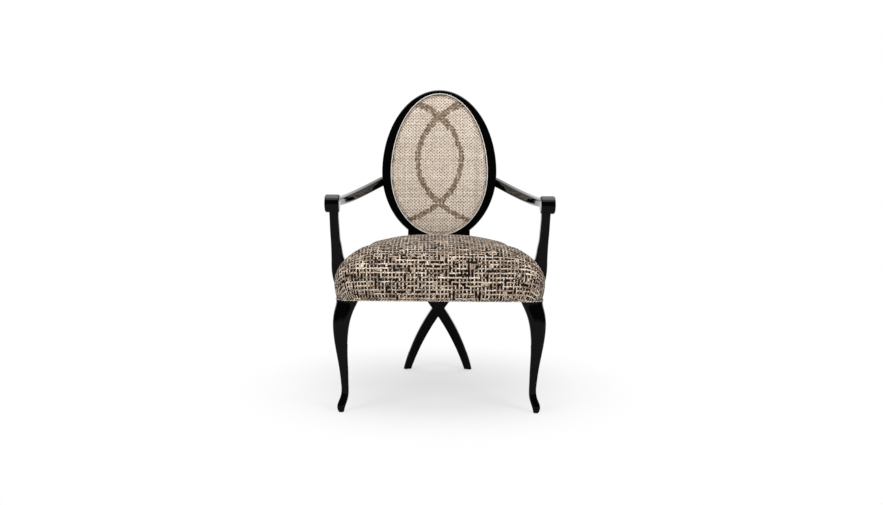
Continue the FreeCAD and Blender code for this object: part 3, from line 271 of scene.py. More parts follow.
def lacquer():
    """Deep black mirror gloss with a faint orange peel and fine dust in its shine."""
    made = Surface("black_lacquer", (0.001, 0.001, 0.0011), 0.05)
    place = made.place()
    peel = made.noise(place, 60, 1.5)
    haze = made.noise(place, 14, 3.0)
    made.feed(made.shader.inputs["Roughness"], made.between(haze, 0.3, 0.7, 0.03, 0.075))
    made.color(made.ramp(haze, [(0.3, (0.0008, 0.0008, 0.0009)), (0.7, (0.0016, 0.0014, 0.0013))]))
    made.bump(peel, 0.00012, 0.15)
    return made.material


def wood(name, dark, light, along):
    """Planed wood with long grain and pores, drawn out along one axis."""
    made = Surface(name, light, 0.55)
    stretch = [38.0, 38.0, 38.0]
    stretch[along] = 3.0
    grain_place = made.node("Mapping", made.place())
    grain_place.inputs["Scale"].default_value = stretch
    grain = made.noise(grain_place.outputs[0], 1.6, 6.0)
    pores = made.noise(grain_place.outputs[0], 14.0, 2.0)
    made.color(made.ramp(grain, [(0.35, dark), (0.62, light)]))
    made.feed(made.shader.inputs["Roughness"], made.between(pores, 0.3, 0.7, 0.48, 0.66))
    made.bump(pores, 0.0002, 0.4)
    return made.material


def steel():
    """Zinc plated steel with cloudy dull patches."""
    made = Surface("zinc_steel", (0.56, 0.56, 0.54), 0.35)
    clouds = made.noise(made.place(), 120, 4.0)
    made.color(made.ramp(clouds, [(0.35, (0.42, 0.42, 0.41)), (0.65, (0.66, 0.66, 0.63))]))
    made.feed(made.shader.inputs["Roughness"], made.between(clouds, 0.3, 0.7, 0.28, 0.48))
    made.set(Metallic=1.0)
    return made.material


def glide_plastic():
    """Scuffed dark plastic."""
    made = Surface("glide_plastic", (0.03, 0.03, 0.03), 0.6)
    scuffs = made.noise(made.place(), 300, 3.0)
    made.color(made.ramp(scuffs, [(0.4, (0.02, 0.02, 0.02)), (0.7, (0.06, 0.06, 0.06))]))
    made.bump(scuffs, 0.0001, 0.5)
    return made.material


def cloth_place(made):
    """Place on the piece's own cloth, whole and in its parts."""
    cloth = made.node("Attribute", attribute_name="cloth").outputs["Vector"]
    return cloth, made.node("SeparateXYZ", cloth).outputs


def yarns(made, cloth, parts, pitches, wander, even_share=0.5):
    """Columns and rows of a plain weave: their counts, whole numbers and the place across each.

    Even yarns take the even share of a pair's width, and wander is their drift in yarns."""
    counts = []
    whole = []
    inside = []
    for axis, seed in ((0, 3.1), (1, 8.7)):
        shifted = made.node("VectorMath", cloth, (seed, seed, 0), operation="ADD").outputs[0]
        drift = made.calc("MULTIPLY_ADD", made.noise(shifted, 55, 1.0), 2 * wander, -wander)
        count = made.calc("MULTIPLY_ADD", parts[axis], 1 / pitches[axis], drift)
        pairs = made.calc("MULTIPLY", count, 0.5)
        part = made.calc("FRACT", pairs)
        second = made.calc("GREATER_THAN", part, even_share)
        width = made.calc("MULTIPLY_ADD", second, 1 - 2 * even_share, even_share)
        start = made.calc("MULTIPLY", second, even_share)
        counts.append(count)
        whole.append(made.calc("MULTIPLY_ADD", made.calc("FLOOR", pairs), 2.0, second))
        across = made.calc("DIVIDE", made.calc("SUBTRACT", part, start), width)
        inside.append(made.calc("SUBTRACT", across, 0.5))
    return counts, whole, inside


def odd(made, value):
    """1 where a whole number is odd, 0 where it is even."""
    return made.calc("FLOORED_MODULO", value, 2.0)


def yarn_height(made, across, along):
    """Round yarn across its width, dipping where it goes under the next one."""
    width = made.calc("MULTIPLY_ADD", made.calc("MULTIPLY", across, across), -3.4, 1.0)
    dip = made.calc("MULTIPLY_ADD", made.calc("MULTIPLY", along, along), -1.5, 1.0)
    return made.calc("MULTIPLY", width, dip)


def choose(made, share, first, second):
    """First value where the share is 1, second where it is 0."""
    rest = made.calc("SUBTRACT", 1.0, share)
    return made.calc("ADD", made.calc("MULTIPLY", share, first), made.calc("MULTIPLY", rest, second))


def yarn_run(made, yarn, along, length):
    """Number of the stretch of one shade on a yarn, each as many yarns long."""
    start = made.calc("MULTIPLY_ADD", made.chance(yarn), 9.0, made.calc("DIVIDE", along, length))
    return made.calc("FLOOR", start)


def tweed():
    """Coarse tweed: black shows where dark columns cross dark rows, between cream yarns with slubs."""
    made = Surface("seat_tweed", (0.22, 0.18, 0.15), 0.85)
    cloth, parts = cloth_place(made)
    counts, (column, row), (side, rise) = yarns(made, cloth, parts, SEAT_PITCH, 0.40, LIGHT_SHARE)
    dark_column = odd(made, column)
    dark_row = odd(made, row)
    warp_chance = made.chance(column, yarn_run(made, column, counts[1], 4.0), 3.1)
    weft_chance = made.chance(yarn_run(made, row, counts[0], 6.0), row, 7.7)

    # Share of black at each crossing
    share = made.calc("MULTIPLY_ADD", dark_column, 0.09, 0.03)
    share = made.calc("MULTIPLY_ADD", dark_row, 0.08, share)
    share = made.calc("MULTIPLY_ADD", made.calc("MULTIPLY", dark_column, dark_row), 0.72, share)
    share = made.calc("ADD", share, made.calc("MULTIPLY_ADD", warp_chance, 0.20, -0.10))
    share = made.calc("ADD", share, made.calc("MULTIPLY_ADD", weft_chance, -0.20, 0.10))
    share = made.calc("ADD", share, made.calc("MULTIPLY_ADD", made.noise(cloth, 24, 2.0), 0.26, -0.13))
    dark = made.calc("LESS_THAN", made.chance(column, row, 1.7), share)

    # Tone of the yarn on top, and black flecks
    dark_tone = made.calc("MULTIPLY", made.chance(column, row, 8.1), 0.22)
    light_tone = choose(made, dark_row, warp_chance, weft_chance)
    light_tone = made.calc("MULTIPLY_ADD", light_tone, 0.48, 0.34)
    light_tone = made.calc("MULTIPLY_ADD", made.chance(column, row, 5.3), 0.15, light_tone)
    tone = choose(made, dark, dark_tone, light_tone)
    elsewhere = made.node("VectorMath", cloth, (5.0, 2.0, 0), operation="ADD").outputs[0]
    black_fleck = made.between(made.noise(elsewhere, 260, 1.0), 0.56, 0.61)
    tone = choose(made, black_fleck, 0.10, tone)
    warp_up = made.calc("MAXIMUM", dark, dark_row)
    height = choose(made, warp_up, yarn_height(made, side, rise), yarn_height(made, rise, side))
    stops = [
        (0.0, (0.004, 0.003, 0.003)),
        (0.20, (0.010, 0.007, 0.006)),
        (0.27, (0.050, 0.034, 0.026)),
        (0.42, (0.21, 0.148, 0.110)),
        (0.62, (0.50, 0.385, 0.290)),
        (0.95, (0.85, 0.72, 0.585)),
    ]
    color = made.ramp(tone, stops)
    slub = made.between(made.noise(cloth, 190, 1.0), 0.67, 0.71)
    color = made.blend(slub, color, (0.62, 0.55, 0.47, 1))
    fibre = made.noise(cloth, 1500, 2.0)
    # Painted shade: the colour is darkened by the yarn's height, where each yarn rounds off and dips under
    # the next
    shade = made.between(height, 0.0, 0.8, 0.56, 1.10)
    made.shaded(color, made.calc("MULTIPLY", shade, made.calc("MULTIPLY_ADD", fibre, 0.5, 0.80)))
    relief = made.calc("MULTIPLY_ADD", fibre, 0.25, height)
    made.bump(made.calc("MULTIPLY_ADD", slub, 0.5, relief), 0.0016, 0.9)
    made.set(Sheen_Weight=0.03, Sheen_Roughness=0.5, Specular_IOR_Level=0.15)
    return made.material


def off_band(made, x, y, side):
    """Distance from the middle line of one of the two bands, which is a mirror of the other."""
    x = made.calc("DIVIDE", made.calc("MULTIPLY_ADD", x, side, -BAND_CENTRE[0]), BAND_REACH[0])
    y = made.calc("DIVIDE", made.calc("SUBTRACT", y, BAND_CENTRE[1]), BAND_REACH[1])
    size = made.node("VectorMath", made.point(x, y, 0.0), operation="LENGTH").outputs["Value"]
    x_slope = made.calc("DIVIDE", x, BAND_REACH[0])
    y_slope = made.calc("DIVIDE", y, BAND_REACH[1])
    slope = made.node("VectorMath", made.point(x_slope, y_slope, 0.0), operation="LENGTH").outputs["Value"]
    off = made.calc("ABSOLUTE", made.calc("SUBTRACT", size, 1.0))
    return made.calc("DIVIDE", made.calc("MULTIPLY", off, size), slope)


def back_weave(name, banded):
    """Cream plain weave with brown dots at every other crossing, and darker bands on the front."""
    made = Surface(name, (0.55, 0.47, 0.38), 0.85)
    cloth, parts = cloth_place(made)
    (across, along), (column, row), (side, rise) = yarns(made, cloth, parts, BACK_PITCH, 0.08)
    parity = odd(made, made.calc("ADD", column, row))
    cell_tone = made.chance(column, row, 9.0)
    tone = choose(made, parity, made.chance(column, 0.0, 4.0), made.chance(row, 5.0, 0.0))
    tone = made.calc("MULTIPLY_ADD", cell_tone, 0.4, made.calc("MULTIPLY", tone, 0.6))
    cream = [(0.1, (0.53, 0.43, 0.335)), (0.5, (0.69, 0.585, 0.48)), (0.9, (0.84, 0.755, 0.66))]
    brown = [(0.1, (0.12, 0.080, 0.052)), (0.6, (0.30, 0.225, 0.155)), (0.9, (0.60, 0.50, 0.39))]
    dot_color = (0.11, 0.072, 0.047, 1)
    # Colour of the painted shade in the groove along the seam
    seam_shade_color = (0.07, 0.045, 0.032, 1)
    ground = made.ramp(tone, cream)
    if banded:
        far = made.calc("MINIMUM", *[off_band(made, *parts[:2], hand) for hand in (-1, 1)])
        ragged = made.calc("MULTIPLY_ADD", cell_tone, 0.006, -0.003)
        wider = made.between(parts[1], 0.12, 0.20, 0.0, 0.003)
        far = made.calc("SUBTRACT", made.calc("ADD", far, ragged), wider)
        in_band = made.between(far, BAND_HALF_WIDTH - 0.001, BAND_HALF_WIDTH + 0.001, 1.0, 0.0)
        ground = made.blend(in_band, ground, made.ramp(tone, brown))
        # Painted shade: a dark line, broken into dashes, in the groove along the seam near the welt
        off_seam = made.calc("ABSOLUTE", made.calc("SUBTRACT", parts[2], SEAM_INSET))
        seam_shade_dashes = made.calc("MULTIPLY_ADD", made.chance(column, row, 6.0), 0.7, 0.25)
        seam = made.calc("MULTIPLY", made.between(off_seam, 0.0006, 0.0016, 1.0, 0.0), seam_shade_dashes)
        ground = made.blend(seam, ground, seam_shade_color)
    corner_x = made.calc("ROUND", across)
    corner_y = made.calc("ROUND", along)
    off_x = made.calc("SUBTRACT", across, corner_x)
    off_y = made.calc("SUBTRACT", along, corner_y)
    far = made.calc("SQRT", made.calc("MULTIPLY_ADD", off_x, off_x, made.calc("MULTIPLY", off_y, off_y)))
    dot = made.between(far, 0.34, 0.48, 1.0, 0.0)
    even = made.calc("SUBTRACT", 1.0, odd(made, made.calc("ADD", corner_x, corner_y)))
    strength = made.calc("MULTIPLY_ADD", made.chance(corner_x, corner_y, 2.0), 0.45, 0.55)
    dot = made.calc("MULTIPLY", dot, made.calc("MULTIPLY", even, strength))
    color = made.blend(dot, ground, dot_color)
    height = choose(made, parity, yarn_height(made, side, rise), yarn_height(made, rise, side))
    fibre = made.noise(cloth, 1800, 2.0)
    # Painted shade: the colour is darkened by the yarn's height, where each yarn rounds off and dips under
    # the next
    shade = made.between(height, 0.0, 0.8, 0.86, 1.0)
    made.shaded(color, made.calc("MULTIPLY", shade, made.calc("MULTIPLY_ADD", fibre, 0.24, 0.88)))
    relief = made.calc("MULTIPLY_ADD", fibre, 0.15, height)
    made.bump(made.calc("SUBTRACT", relief, made.calc("MULTIPLY", dot, 0.6)), 0.0007, 0.7)
    made.set(Sheen_Weight=0.10, Sheen_Roughness=0.5)
    return made.material


def fine_cloth(name, color, scale, roughness=0.85):
    """Plain close woven cloth."""
    made = Surface(name, color, roughness)
    place = made.place()
    threads = made.node("TexWave", place, scale, 0.6, 2.0, wave_type="BANDS", bands_direction="DIAGONAL")
    mottle = made.noise(place, 60, 4.0)
    dark = [value * 0.78 for value in color]
    made.color(made.ramp(mottle, [(0.3, dark), (0.7, color)]))
    made.bump(threads.outputs["Fac"], 0.0002, 0.6)
    made.set(Sheen_Weight=0.1)
    return made.material


def hem_cord():
    """Two strands, one cream and one that changes from black to taupe."""
    made = Surface("hem_trim", (0.5, 0.46, 0.4), 0.8)
    along, strand = cloth_place(made)[1][:2]
    turn = made.calc("FLOOR", made.calc("DIVIDE", along, TRIM_TWIST))
    chance = made.chance(turn, strand, 6.0)
    tone = made.calc("MULTIPLY_ADD", chance, 0.5, made.calc("MULTIPLY", strand, 0.5))
    stops = [
        (0.0, (0.008, 0.006, 0.006)),
        (0.22, (0.03, 0.022, 0.018)),
        (0.45, (0.40, 0.32, 0.25)),
        (0.9, (0.80, 0.75, 0.68)),
    ]
    threads = made.noise(made.place(), 900, 2.0)
    made.shaded(made.ramp(tone, stops), made.calc("MULTIPLY_ADD", threads, 0.6, 0.7))
    made.bump(threads, 0.0004, 0.7)
    return made.material


def jute():
    """Webbing with stripes along its length."""
    made = Surface("webbing", (0.42, 0.31, 0.18), 0.9)
    place = made.place()
    threads = made.node("TexWave", place, 260.0, 1.0, 2.0, wave_type="BANDS", bands_direction="X")
    made.color(made.ramp(threads.outputs["Fac"], [(0.2, (0.26, 0.18, 0.10)), (0.8, (0.50, 0.38, 0.24))]))
    made.bump(threads.outputs["Fac"], 0.0004, 0.8)
    return made.material


def piece_from(name, points, faces, material):
    """New object from points and faces, smooth, in the scene."""
    mesh = bpy.data.meshes.new(name)
    mesh.from_pydata([tuple(point) for point in points], [], faces)
    mesh.materials.append(material)
    mesh.shade_smooth()
    made = bpy.data.objects.new(name, mesh)
    bpy.context.scene.collection.objects.link(made)
    return made


def ringed(name, rings, material):
    """Closed skin through rings of as many points each, with a flat face at both ends."""
    count = len(rings[0])
    points = [point for ring in rings for point in ring]
    faces = []
    for index in range(len(rings) - 1):
        base = index * count
        for step in range(count):
            ahead = (step + 1) % count
            faces.append((base + step, base + ahead, base + count + ahead, base + count + step))
    faces.append(tuple(reversed(range(count))))
    faces.append(tuple(range(len(points) - count, len(points))))
    return piece_from(name, points, faces, material)


def tube(name, lines, sides, material):
    """Round tubes along lines of (centre, side, rise) triples, whose sides and rises carry the radius."""
    points = []
    faces = []
    turns = [2 * math.pi * step / sides for step in range(sides)]
    for line, closed in lines:
        first = len(points)
        for centre, side, rise in line:
            points += [centre + side * math.cos(turn) + rise * math.sin(turn) for turn in turns]
        spans = len(line) if closed else len(line) - 1
        for index in range(spans):
            base = first + index * sides
            after = first + (index + 1) % len(line) * sides
            for step in range(sides):
                ahead = (step + 1) % sides
                faces.append((base + step, after + step, after + ahead, base + ahead))
        if not closed:
            faces.append(tuple(range(first, first + sides)))
            faces.append(tuple(reversed(range(len(points) - sides, len(points)))))
    return piece_from(name, points, faces, material)


def settled(piece):
    """Turns the piece's modifiers into its mesh."""
    graph = bpy.context.evaluated_depsgraph_get()
    mesh = bpy.data.meshes.new_from_object(piece.evaluated_get(graph))
    piece.modifiers.clear()
    piece.data = mesh
    mesh.shade_smooth()


def places(piece):
    """Points of the piece's mesh, one row each."""
    values = np.empty(len(piece.data.vertices) * 3)
    piece.data.vertices.foreach_get("co", values)
    return values.reshape(-1, 3)


def set_places(piece, values):
    piece.data.vertices.foreach_set("co", np.asarray(values, float).ravel())
    piece.data.update()


def puffed(piece, held):
    """Remeshes a pad evenly and lets air pressure round it, with the points in held fixed.

    No point moves further than SIM_REACH, or more than SIM_PULL_IN inward."""
    remesh = piece.modifiers.new("even", "REMESH")
    remesh.mode = "VOXEL"
    remesh.voxel_size = VOXEL
    settled(piece)
    rest = places(piece)
    fixed = np.flatnonzero(held(rest))
    group = piece.vertex_groups.new(name="held")
    group.add([int(index) for index in fixed], 1.0, "REPLACE")
    cloth = piece.modifiers.new("air", "CLOTH")
    cloth.settings.quality = 5
    cloth.settings.tension_stiffness = STRETCH_STIFFNESS
    cloth.settings.compression_stiffness = STRETCH_STIFFNESS
    cloth.settings.bending_stiffness = BEND_STIFFNESS
    cloth.settings.vertex_group_mass = group.name
    cloth.settings.use_pressure = True
    cloth.settings.uniform_pressure_force = PRESSURE
    cloth.settings.effector_weights.gravity = 0
    cloth.collision_settings.use_collision = False
    cloth.point_cache.frame_start = 1
    cloth.point_cache.frame_end = SIM_FRAMES
    scene = bpy.context.scene
    for number in range(1, SIM_FRAMES + 1):
        scene.frame_set(number)
    settled(piece)
    piece.vertex_groups.clear()
    scene.frame_set(1)
    moved = places(piece) - rest
    length = np.linalg.norm(moved, axis=1, keepdims=True)
    moved *= np.minimum(1, SIM_REACH / np.maximum(length, SIM_REACH))
    set_places(piece, rest)
    outward = np.array([vertex.normal for vertex in piece.data.vertices])
    sunk = np.minimum(0, np.sum(moved * outward, axis=1, keepdims=True) + SIM_PULL_IN)
    set_places(piece, rest + moved - outward * sunk)
    smooth = piece.modifiers.new("finer", "SUBSURF")
    smooth.levels = 1
    smooth.render_levels = 1
    settled(piece)


def write_cloth(piece, values):
    """Keeps the place of every point on its cloth, for the weave."""
    attribute = piece.data.attributes.new("cloth", "FLOAT_VECTOR", "POINT")
    attribute.data.foreach_set("vector", np.asarray(values, np.float32).ravel())


def node_tree(*names):
    """Search tree over the surfaces of CAD nodes."""
    points = []
    faces = []
    for name in names:
        mesh = frame["nodes"][name].data
        first = len(points)
        points += [vertex.co for vertex in mesh.vertices]
        faces += [[first + index for index in face.vertices] for face in mesh.polygons]
    return BVHTree.FromPolygons(points, faces)


def tucked(piece, names):
    """Draws the cloth in beside the CAD nodes that pass through it."""
    tree = node_tree(*names)
    values = places(piece)
    normals = np.array([vertex.normal for vertex in piece.data.vertices])
    for index, value in enumerate(values):
        distance = tree.find_nearest(Vector(value), TUCK_REACH)[3]
        if distance is not None:
            values[index] -= normals[index] * (TUCK_DEPTH * (1 - distance / TUCK_REACH) ** 2)
    set_places(piece, values)


def opened(piece, names):
    """Cuts the passages of CAD nodes out of a piece."""
    for name in names:
        cutter = piece.modifiers.new("passage", "BOOLEAN")
        cutter.operation = "DIFFERENCE"
        cutter.solver = "EXACT"
        cutter.object = frame["nodes"][name]
        settled(piece)


def finished(piece, slot, *nodes):
    """Ties the piece to the frame's root body and hides the CAD nodes that it replaces; the slot argument
    is not used.
    """
    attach(piece, "root")
    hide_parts(*nodes)


# Seat

def side_face(y):
    """Half width over the side rails."""
    return HALF_FRONT - (y - POST_BACK) * SIDE_TAPER


def seat_ring(offset, scale, height, arc_steps=14, side_steps=26):
    """Plan of the seat at one height: the lines of the rails, moved out, scaled and rounded."""
    front = (FRONT_FACE - offset, FRONT_CORNER)
    back = (NECK_FRONT + offset, REAR_CORNER)
    corners = []
    radii = []
    for side, (y, corner) in ((-1, front), (1, front), (1, back), (-1, back)):
        x = side * (side_face(y) + offset * SIDE_SLANT)
        corners.append(Vector((x * scale, SEAT_MIDDLE + (y - SEAT_MIDDLE) * scale, height)))
        radius = corner + offset
        radii.append((radius + (ROUND_RADIUS - radius) * (1 - scale ** 2)) * scale)
    points = []
    starts = []
    ends = []
    arcs = []
    for index, (corner, radius) in enumerate(zip(corners, radii)):
        back_way = (corners[index - 1] - corner).normalized()
        ahead_way = (corners[(index + 1) % 4] - corner).normalized()
        half_angle = back_way.angle(ahead_way) / 2
        inward = (back_way + ahead_way).normalized()
        centre = corner + inward * (radius / math.sin(half_angle))
        start = corner + back_way * (radius / math.tan(half_angle))
        end = corner + ahead_way * (radius / math.tan(half_angle))
        arc = []
        for step in range(arc_steps + 1):
            spoke = (start - centre).lerp(end - centre, step / arc_steps)
            arc.append(centre + spoke.normalized() * radius)
        starts.append(start)
        ends.append(end)
        arcs.append(arc)
    for index in range(4):
        points += arcs[index]
        following = starts[(index + 1) % 4]
        points += [ends[index].lerp(following, step / side_steps) for step in range(1, side_steps)]
    return points


def cover_reach(height):
    """How far the cover stands outside the rails between its hem and its waist."""
    share = (height - UNDERSIDE) / (SEAT_WAIST - UNDERSIDE)
    return SEAT_SWELL - HEM_INSET * (1 - share) ** 2


def seat_stations(skin):
    """Height, offset and scale of the seat's rings from the hem to the crown."""
    swell = SEAT_SWELL - skin
    crown = SEAT_TOP - skin
    half = HALF_FRONT + swell
    depth = SEAT_WAIST - crown + CROWN_RADIUS
    shoulder = (CROWN_RADIUS ** 2 - half ** 2 - depth ** 2) / (2 * (CROWN_RADIUS - half))
    lean = math.atan2(half - shoulder, depth)
    stations = []
    for share in (0, 0.25, 0.5, 0.75):
        height = UNDERSIDE + (SEAT_WAIST - UNDERSIDE) * share
        stations.append((height, cover_reach(height) - skin, 1.0))
    for step in range(SHOULDER_STEPS + 1):
        turn = (math.pi / 2 - lean) * step / SHOULDER_STEPS
        reach = half - shoulder + shoulder * math.cos(turn)
        stations.append((SEAT_WAIST + shoulder * math.sin(turn), swell, reach / half))
    for step in range(1, CROWN_STEPS):
        turn = lean * (1 - step / CROWN_STEPS)
        height = crown - CROWN_RADIUS + CROWN_RADIUS * math.cos(turn)
        stations.append((height, swell, CROWN_RADIUS * math.sin(turn) / half))
    return stations


def rounded_crown(piece):
    """Fills the shoulders behind the middle and lowers the rear corners of the crown."""
    values = places(piece)
    height = np.clip((values[:, 2] - SEAT_WAIST) / (SEAT_TOP - SEAT_WAIST), 0, 1)
    across = np.abs(values[:, 0]) / HALF_FRONT
    back = np.clip((values[:, 1] - SEAT_MIDDLE) / HALF_DEPTH + ROUNDING_START, 0, 1)
    back *= back * (3 - 2 * back)
    side = np.clip((across - FILL_START) / FILL_SPAN, 0, 1)
    values[:, 0] += np.sign(values[:, 0]) * SHOULDER_FILL * side * back * np.sqrt(height)
    values[:, 2] -= CROWN_EASE * back * np.exp(-((across - EASE_CENTRE) / EASE_SPAN) ** 2) * height
    set_places(piece, values)


def folded_under(piece):
    """Lifts the underside into the frame, so that the cover ends at the edge of the rails."""
    values = places(piece)
    side = (np.abs(values[:, 0]) - side_face(values[:, 1])) / SIDE_SLANT
    outside = np.maximum.reduce([side, FRONT_FACE - values[:, 1], values[:, 1] - NECK_FRONT])
    share = np.clip(-outside / FOLD_WIDTH, 0, 1)
    low = values[:, 2] < UNDERSIDE + FOLD_WIDTH
    values[:, 2] += np.where(low, FOLD_RISE * share ** 2 * (3 - 2 * share), 0)
    set_places(piece, values)


def cloth_on_seat(piece):
    """Coordinates of the seat cloth: flat over the crown, then straight down every side."""
    values = places(piece)
    stations = seat_stations(0)
    heights = [height for height, offset, scale in stations]
    reaches = [(HALF_FRONT + offset) * scale for height, offset, scale in stations]
    runs = np.hypot(np.diff(heights), np.diff(reaches))
    run = np.concatenate([np.cumsum(runs[::-1])[::-1], [0.0]]) + reaches[-1]
    extra = run - np.array(reaches)
    drop = np.interp(values[:, 2], heights, extra)
    across = values[:, 0] / side_face(values[:, 1])
    along = (values[:, 1] - SEAT_MIDDLE) / HALF_DEPTH
    out = np.stack([across, along], 1)
    sharpness = 6
    pull = np.sign(out) * np.abs(out) ** sharpness
    pull /= np.maximum(np.linalg.norm(pull, axis=1, keepdims=True), 1e-9)
    flat = values[:, :2] + pull * drop[:, None]
    return np.concatenate([flat, np.zeros((len(flat), 1))], 1)


def seat_cushion(material):
    """Crowned seat, puffed by the simulation, with passages for the arm posts and the neck."""
    skin = SIM_SHRINK
    stations = [(UNDERSIDE, -LIP_WIDTH, 1.0), *seat_stations(skin)]
    rings = [seat_ring(offset, scale, height) for height, offset, scale in stations]
    piece = ringed("seat_cushion", rings, material)
    rounded_crown(piece)
    puffed(piece, lambda values: values[:, 2] < UNDERSIDE + LIP_WIDTH)
    posts = ("right_arm_post", "left_arm_post")
    folded_under(piece)
    tucked(piece, posts)
    opened(piece, (*posts, "back_base"))
    write_cloth(piece, cloth_on_seat(piece))
    finished(piece, "seat_tweed", "seat_cover", "seat_padding")


def even_line(corners, step):
    """Points at even steps along a line of points, and how far along it each lies."""
    line = np.array([tuple(corner) for corner in corners])
    lengths = np.linalg.norm(np.diff(line, axis=0), axis=1)
    run = np.concatenate([[0], np.cumsum(lengths)])
    wanted = np.linspace(0, run[-1], max(2, round(run[-1] / step) + 1))
    return np.stack([np.interp(wanted, run, line[:, axis]) for axis in range(3)], 1), wanted


def hem_trim(material):
    """Two strands twisted round each other along the hem, from one side of the neck to the other."""
    radius = TRIM_DIAMETER / 2
    reach = cover_reach(UNDERSIDE + TRIM_DIAMETER)
    ring = seat_ring(reach, 1.0, UNDERSIDE + radius)
    rear = max(point.y for point in ring)
    kept = [point for point in ring if not (abs(point.x) < NECK_HALF and point.y > rear - radius)]
    start = next(index for index, point in enumerate(kept) if kept[index - 1].x - point.x > NECK_HALF)
    line, runs = even_line(kept[start:] + kept[:start], TRIM_STEP)
    along = np.gradient(line, axis=0)
    along /= np.linalg.norm(along, axis=1, keepdims=True)
    outward = np.stack([along[:, 1], -along[:, 0], along[:, 2] * 0], 1)
    upward = np.array([0.0, 0.0, 1.0])
    strand_reach = radius * 0.46
    strand_radius = radius * 0.54
    strands = []
    for strand in range(2):
        turns = 2 * math.pi * runs / TRIM_TWIST + math.pi * strand
        offset = outward * np.cos(turns)[:, None] + upward * np.sin(turns)[:, None]
        rise = Vector(upward) * strand_radius
        triples = []
        for centre, side in zip(line + offset * strand_reach, outward):
            triples.append((Vector(centre), Vector(side) * strand_radius, rise))
        strands.append((triples, False))
    piece = tube("hem_cord", strands, TRIM_SIDES, material)
    write_cloth(piece, [(run, strand, 0) for strand in range(2) for run in runs for _ in range(TRIM_SIDES)])
    finished(piece, "hem_trim", "seat_trim")


# Back

def egg(inset, level, count=128, scale=1.0):
    """Points of the oval opening, drawn in by an inset and scaled, at a level of the oval's plane."""
    points = []
    for step in range(count):
        turn = 2 * math.pi * step / count
        reach = OPENING_RISE if math.sin(turn) > 0 else OPENING_DROP
        across = (OPENING_HALF - inset) * scale * math.cos(turn)
        along = (reach - inset) * scale * math.sin(turn) - OPENING_LOWERING
        points.append(Vector((across, along, level)))
    return points


def swelling(inset, back, edge, crown):
    """Rings of a padded oval, from its flat back to the middle of its crown."""
    rings = [egg(inset, back), egg(inset, (back + edge) / 2), egg(inset, edge)]
    for step in range(1, PAD_STEPS):
        share = 1 - step / PAD_STEPS
        level = edge + (crown - edge) * (1 - share ** CROWN_POWER)
        rings.append(egg(inset, level, scale=share))
    return rings


def inside_edge(flat):
    """Distance of points in the oval's plane from the edge of its opening."""
    height = flat[:, 1] + OPENING_LOWERING
    reach = np.where(height > 0, OPENING_RISE, OPENING_DROP)
    size = np.hypot(flat[:, 0] / OPENING_HALF, height / reach)
    slope = np.hypot(flat[:, 0] / OPENING_HALF ** 2, height / reach ** 2) / np.maximum(size, 0.1)
    return (1 - size) / np.maximum(slope, 1)


def laid_on_oval(piece):
    """Moves a piece from the oval's plane to its place in the chair."""
    piece.data.transform(OVAL_PLACE)
    piece.data.update()


def back_panel(material):
    """Padded front of the back, puffed by the simulation, with a groove along its seam."""
    skin = SIM_SHRINK
    rings = swelling(PAD_INSET, BOARD_FRONT, COVER_EDGE - skin, COVER_CROWN - skin)
    piece = ringed("back_panel", rings, material)
    puffed(piece, lambda values: values[:, 2] < COVER_EDGE - HELD_DEPTH)
    flat = places(piece)
    inset = inside_edge(flat)
    groove = np.clip(1 - np.abs(inset - SEAM_INSET) / GROOVE_HALF_WIDTH, 0, 1)
    write_cloth(piece, np.stack([flat[:, 0], flat[:, 1], inset], 1))
    front = flat[:, 2] > COVER_EDGE - HELD_DEPTH
    flat[:, 2] -= np.where(front, GROOVE_DEPTH * groove, 0)
    set_places(piece, flat)
    laid_on_oval(piece)
    finished(piece, "back_weave", "back_cover", "back_padding")


def outer_panel(material):
    """Padded cloth on the outside of the back, nearly flat."""
    edge = RING_THICKNESS - OUTER_EDGE_SINK
    crown = RING_THICKNESS + OUTER_CROWN_RISE
    rings = swelling(PAD_INSET, -BOARD_BACK, edge, crown)
    flipped = [[Vector((-point.x, point.y, -point.z)) for point in ring] for ring in rings]
    piece = ringed("back_outer_panel", flipped, material)
    write_cloth(piece, places(piece) * (1, 1, 0))
    laid_on_oval(piece)
    finished(piece, "plain_cloth", "back_outer_cover", "back_rear_wadding")


def welt(name, level, node, material):
    """Round cord along the edge of the opening, at a level of the oval's plane."""
    radius = PIPING / 2
    ring = egg(radius, level, 240)
    triples = []
    for index, centre in enumerate(ring):
        along = (ring[(index + 1) % len(ring)] - ring[index - 1]).normalized()
        side = Vector((along.y, -along.x, 0))
        triples.append((centre, side * radius, Vector((0, 0, radius))))
    piece = tube(name, [(triples, True)], 14, material)
    laid_on_oval(piece)
    finished(piece, "light_cord", node)


def bottom_cloth(material):
    """Lining under the rails, notched at the front legs, with small puckers at its edge."""
    low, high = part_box("dust_cover")
    mesh = frame["nodes"]["dust_cover"].data
    near = 0.001
    notch_x = max(vertex.co.x for vertex in mesh.vertices if vertex.co.y < low.y + near)
    notch_y = min(vertex.co.y for vertex in mesh.vertices if vertex.co.x > notch_x + near)
    steps = 60
    inset = 0.006
    pucker_height = 0.0005
    pucker_count = 160
    level = (low.z + high.z) / 2
    points = []
    index_of = {}
    faces = []
    for row in range(steps + 1):
        y = low.y + (high.y - low.y) * row / steps
        wide = notch_x if y < notch_y else side_face(y) - inset
        for column in range(steps + 1):
            x = wide * (2 * column / steps - 1)
            edge = min(1 - abs(2 * column / steps - 1), 1 - abs(2 * row / steps - 1))
            wave = math.sin(x * pucker_count) * math.sin(y * pucker_count)
            index_of[row, column] = len(points)
            points.append(Vector((x, y, level + pucker_height * wave * max(0.0, 1 - edge * 6))))
    for row in range(steps):
        for column in range(steps):
            corners = [(row, column), (row, column + 1), (row + 1, column + 1), (row + 1, column)]
            faces.append([index_of[corner] for corner in corners])
    piece = piece_from("bottom_cloth", points, faces, material)
    finished(piece, "dust_cloth", "dust_cover")


# Stage

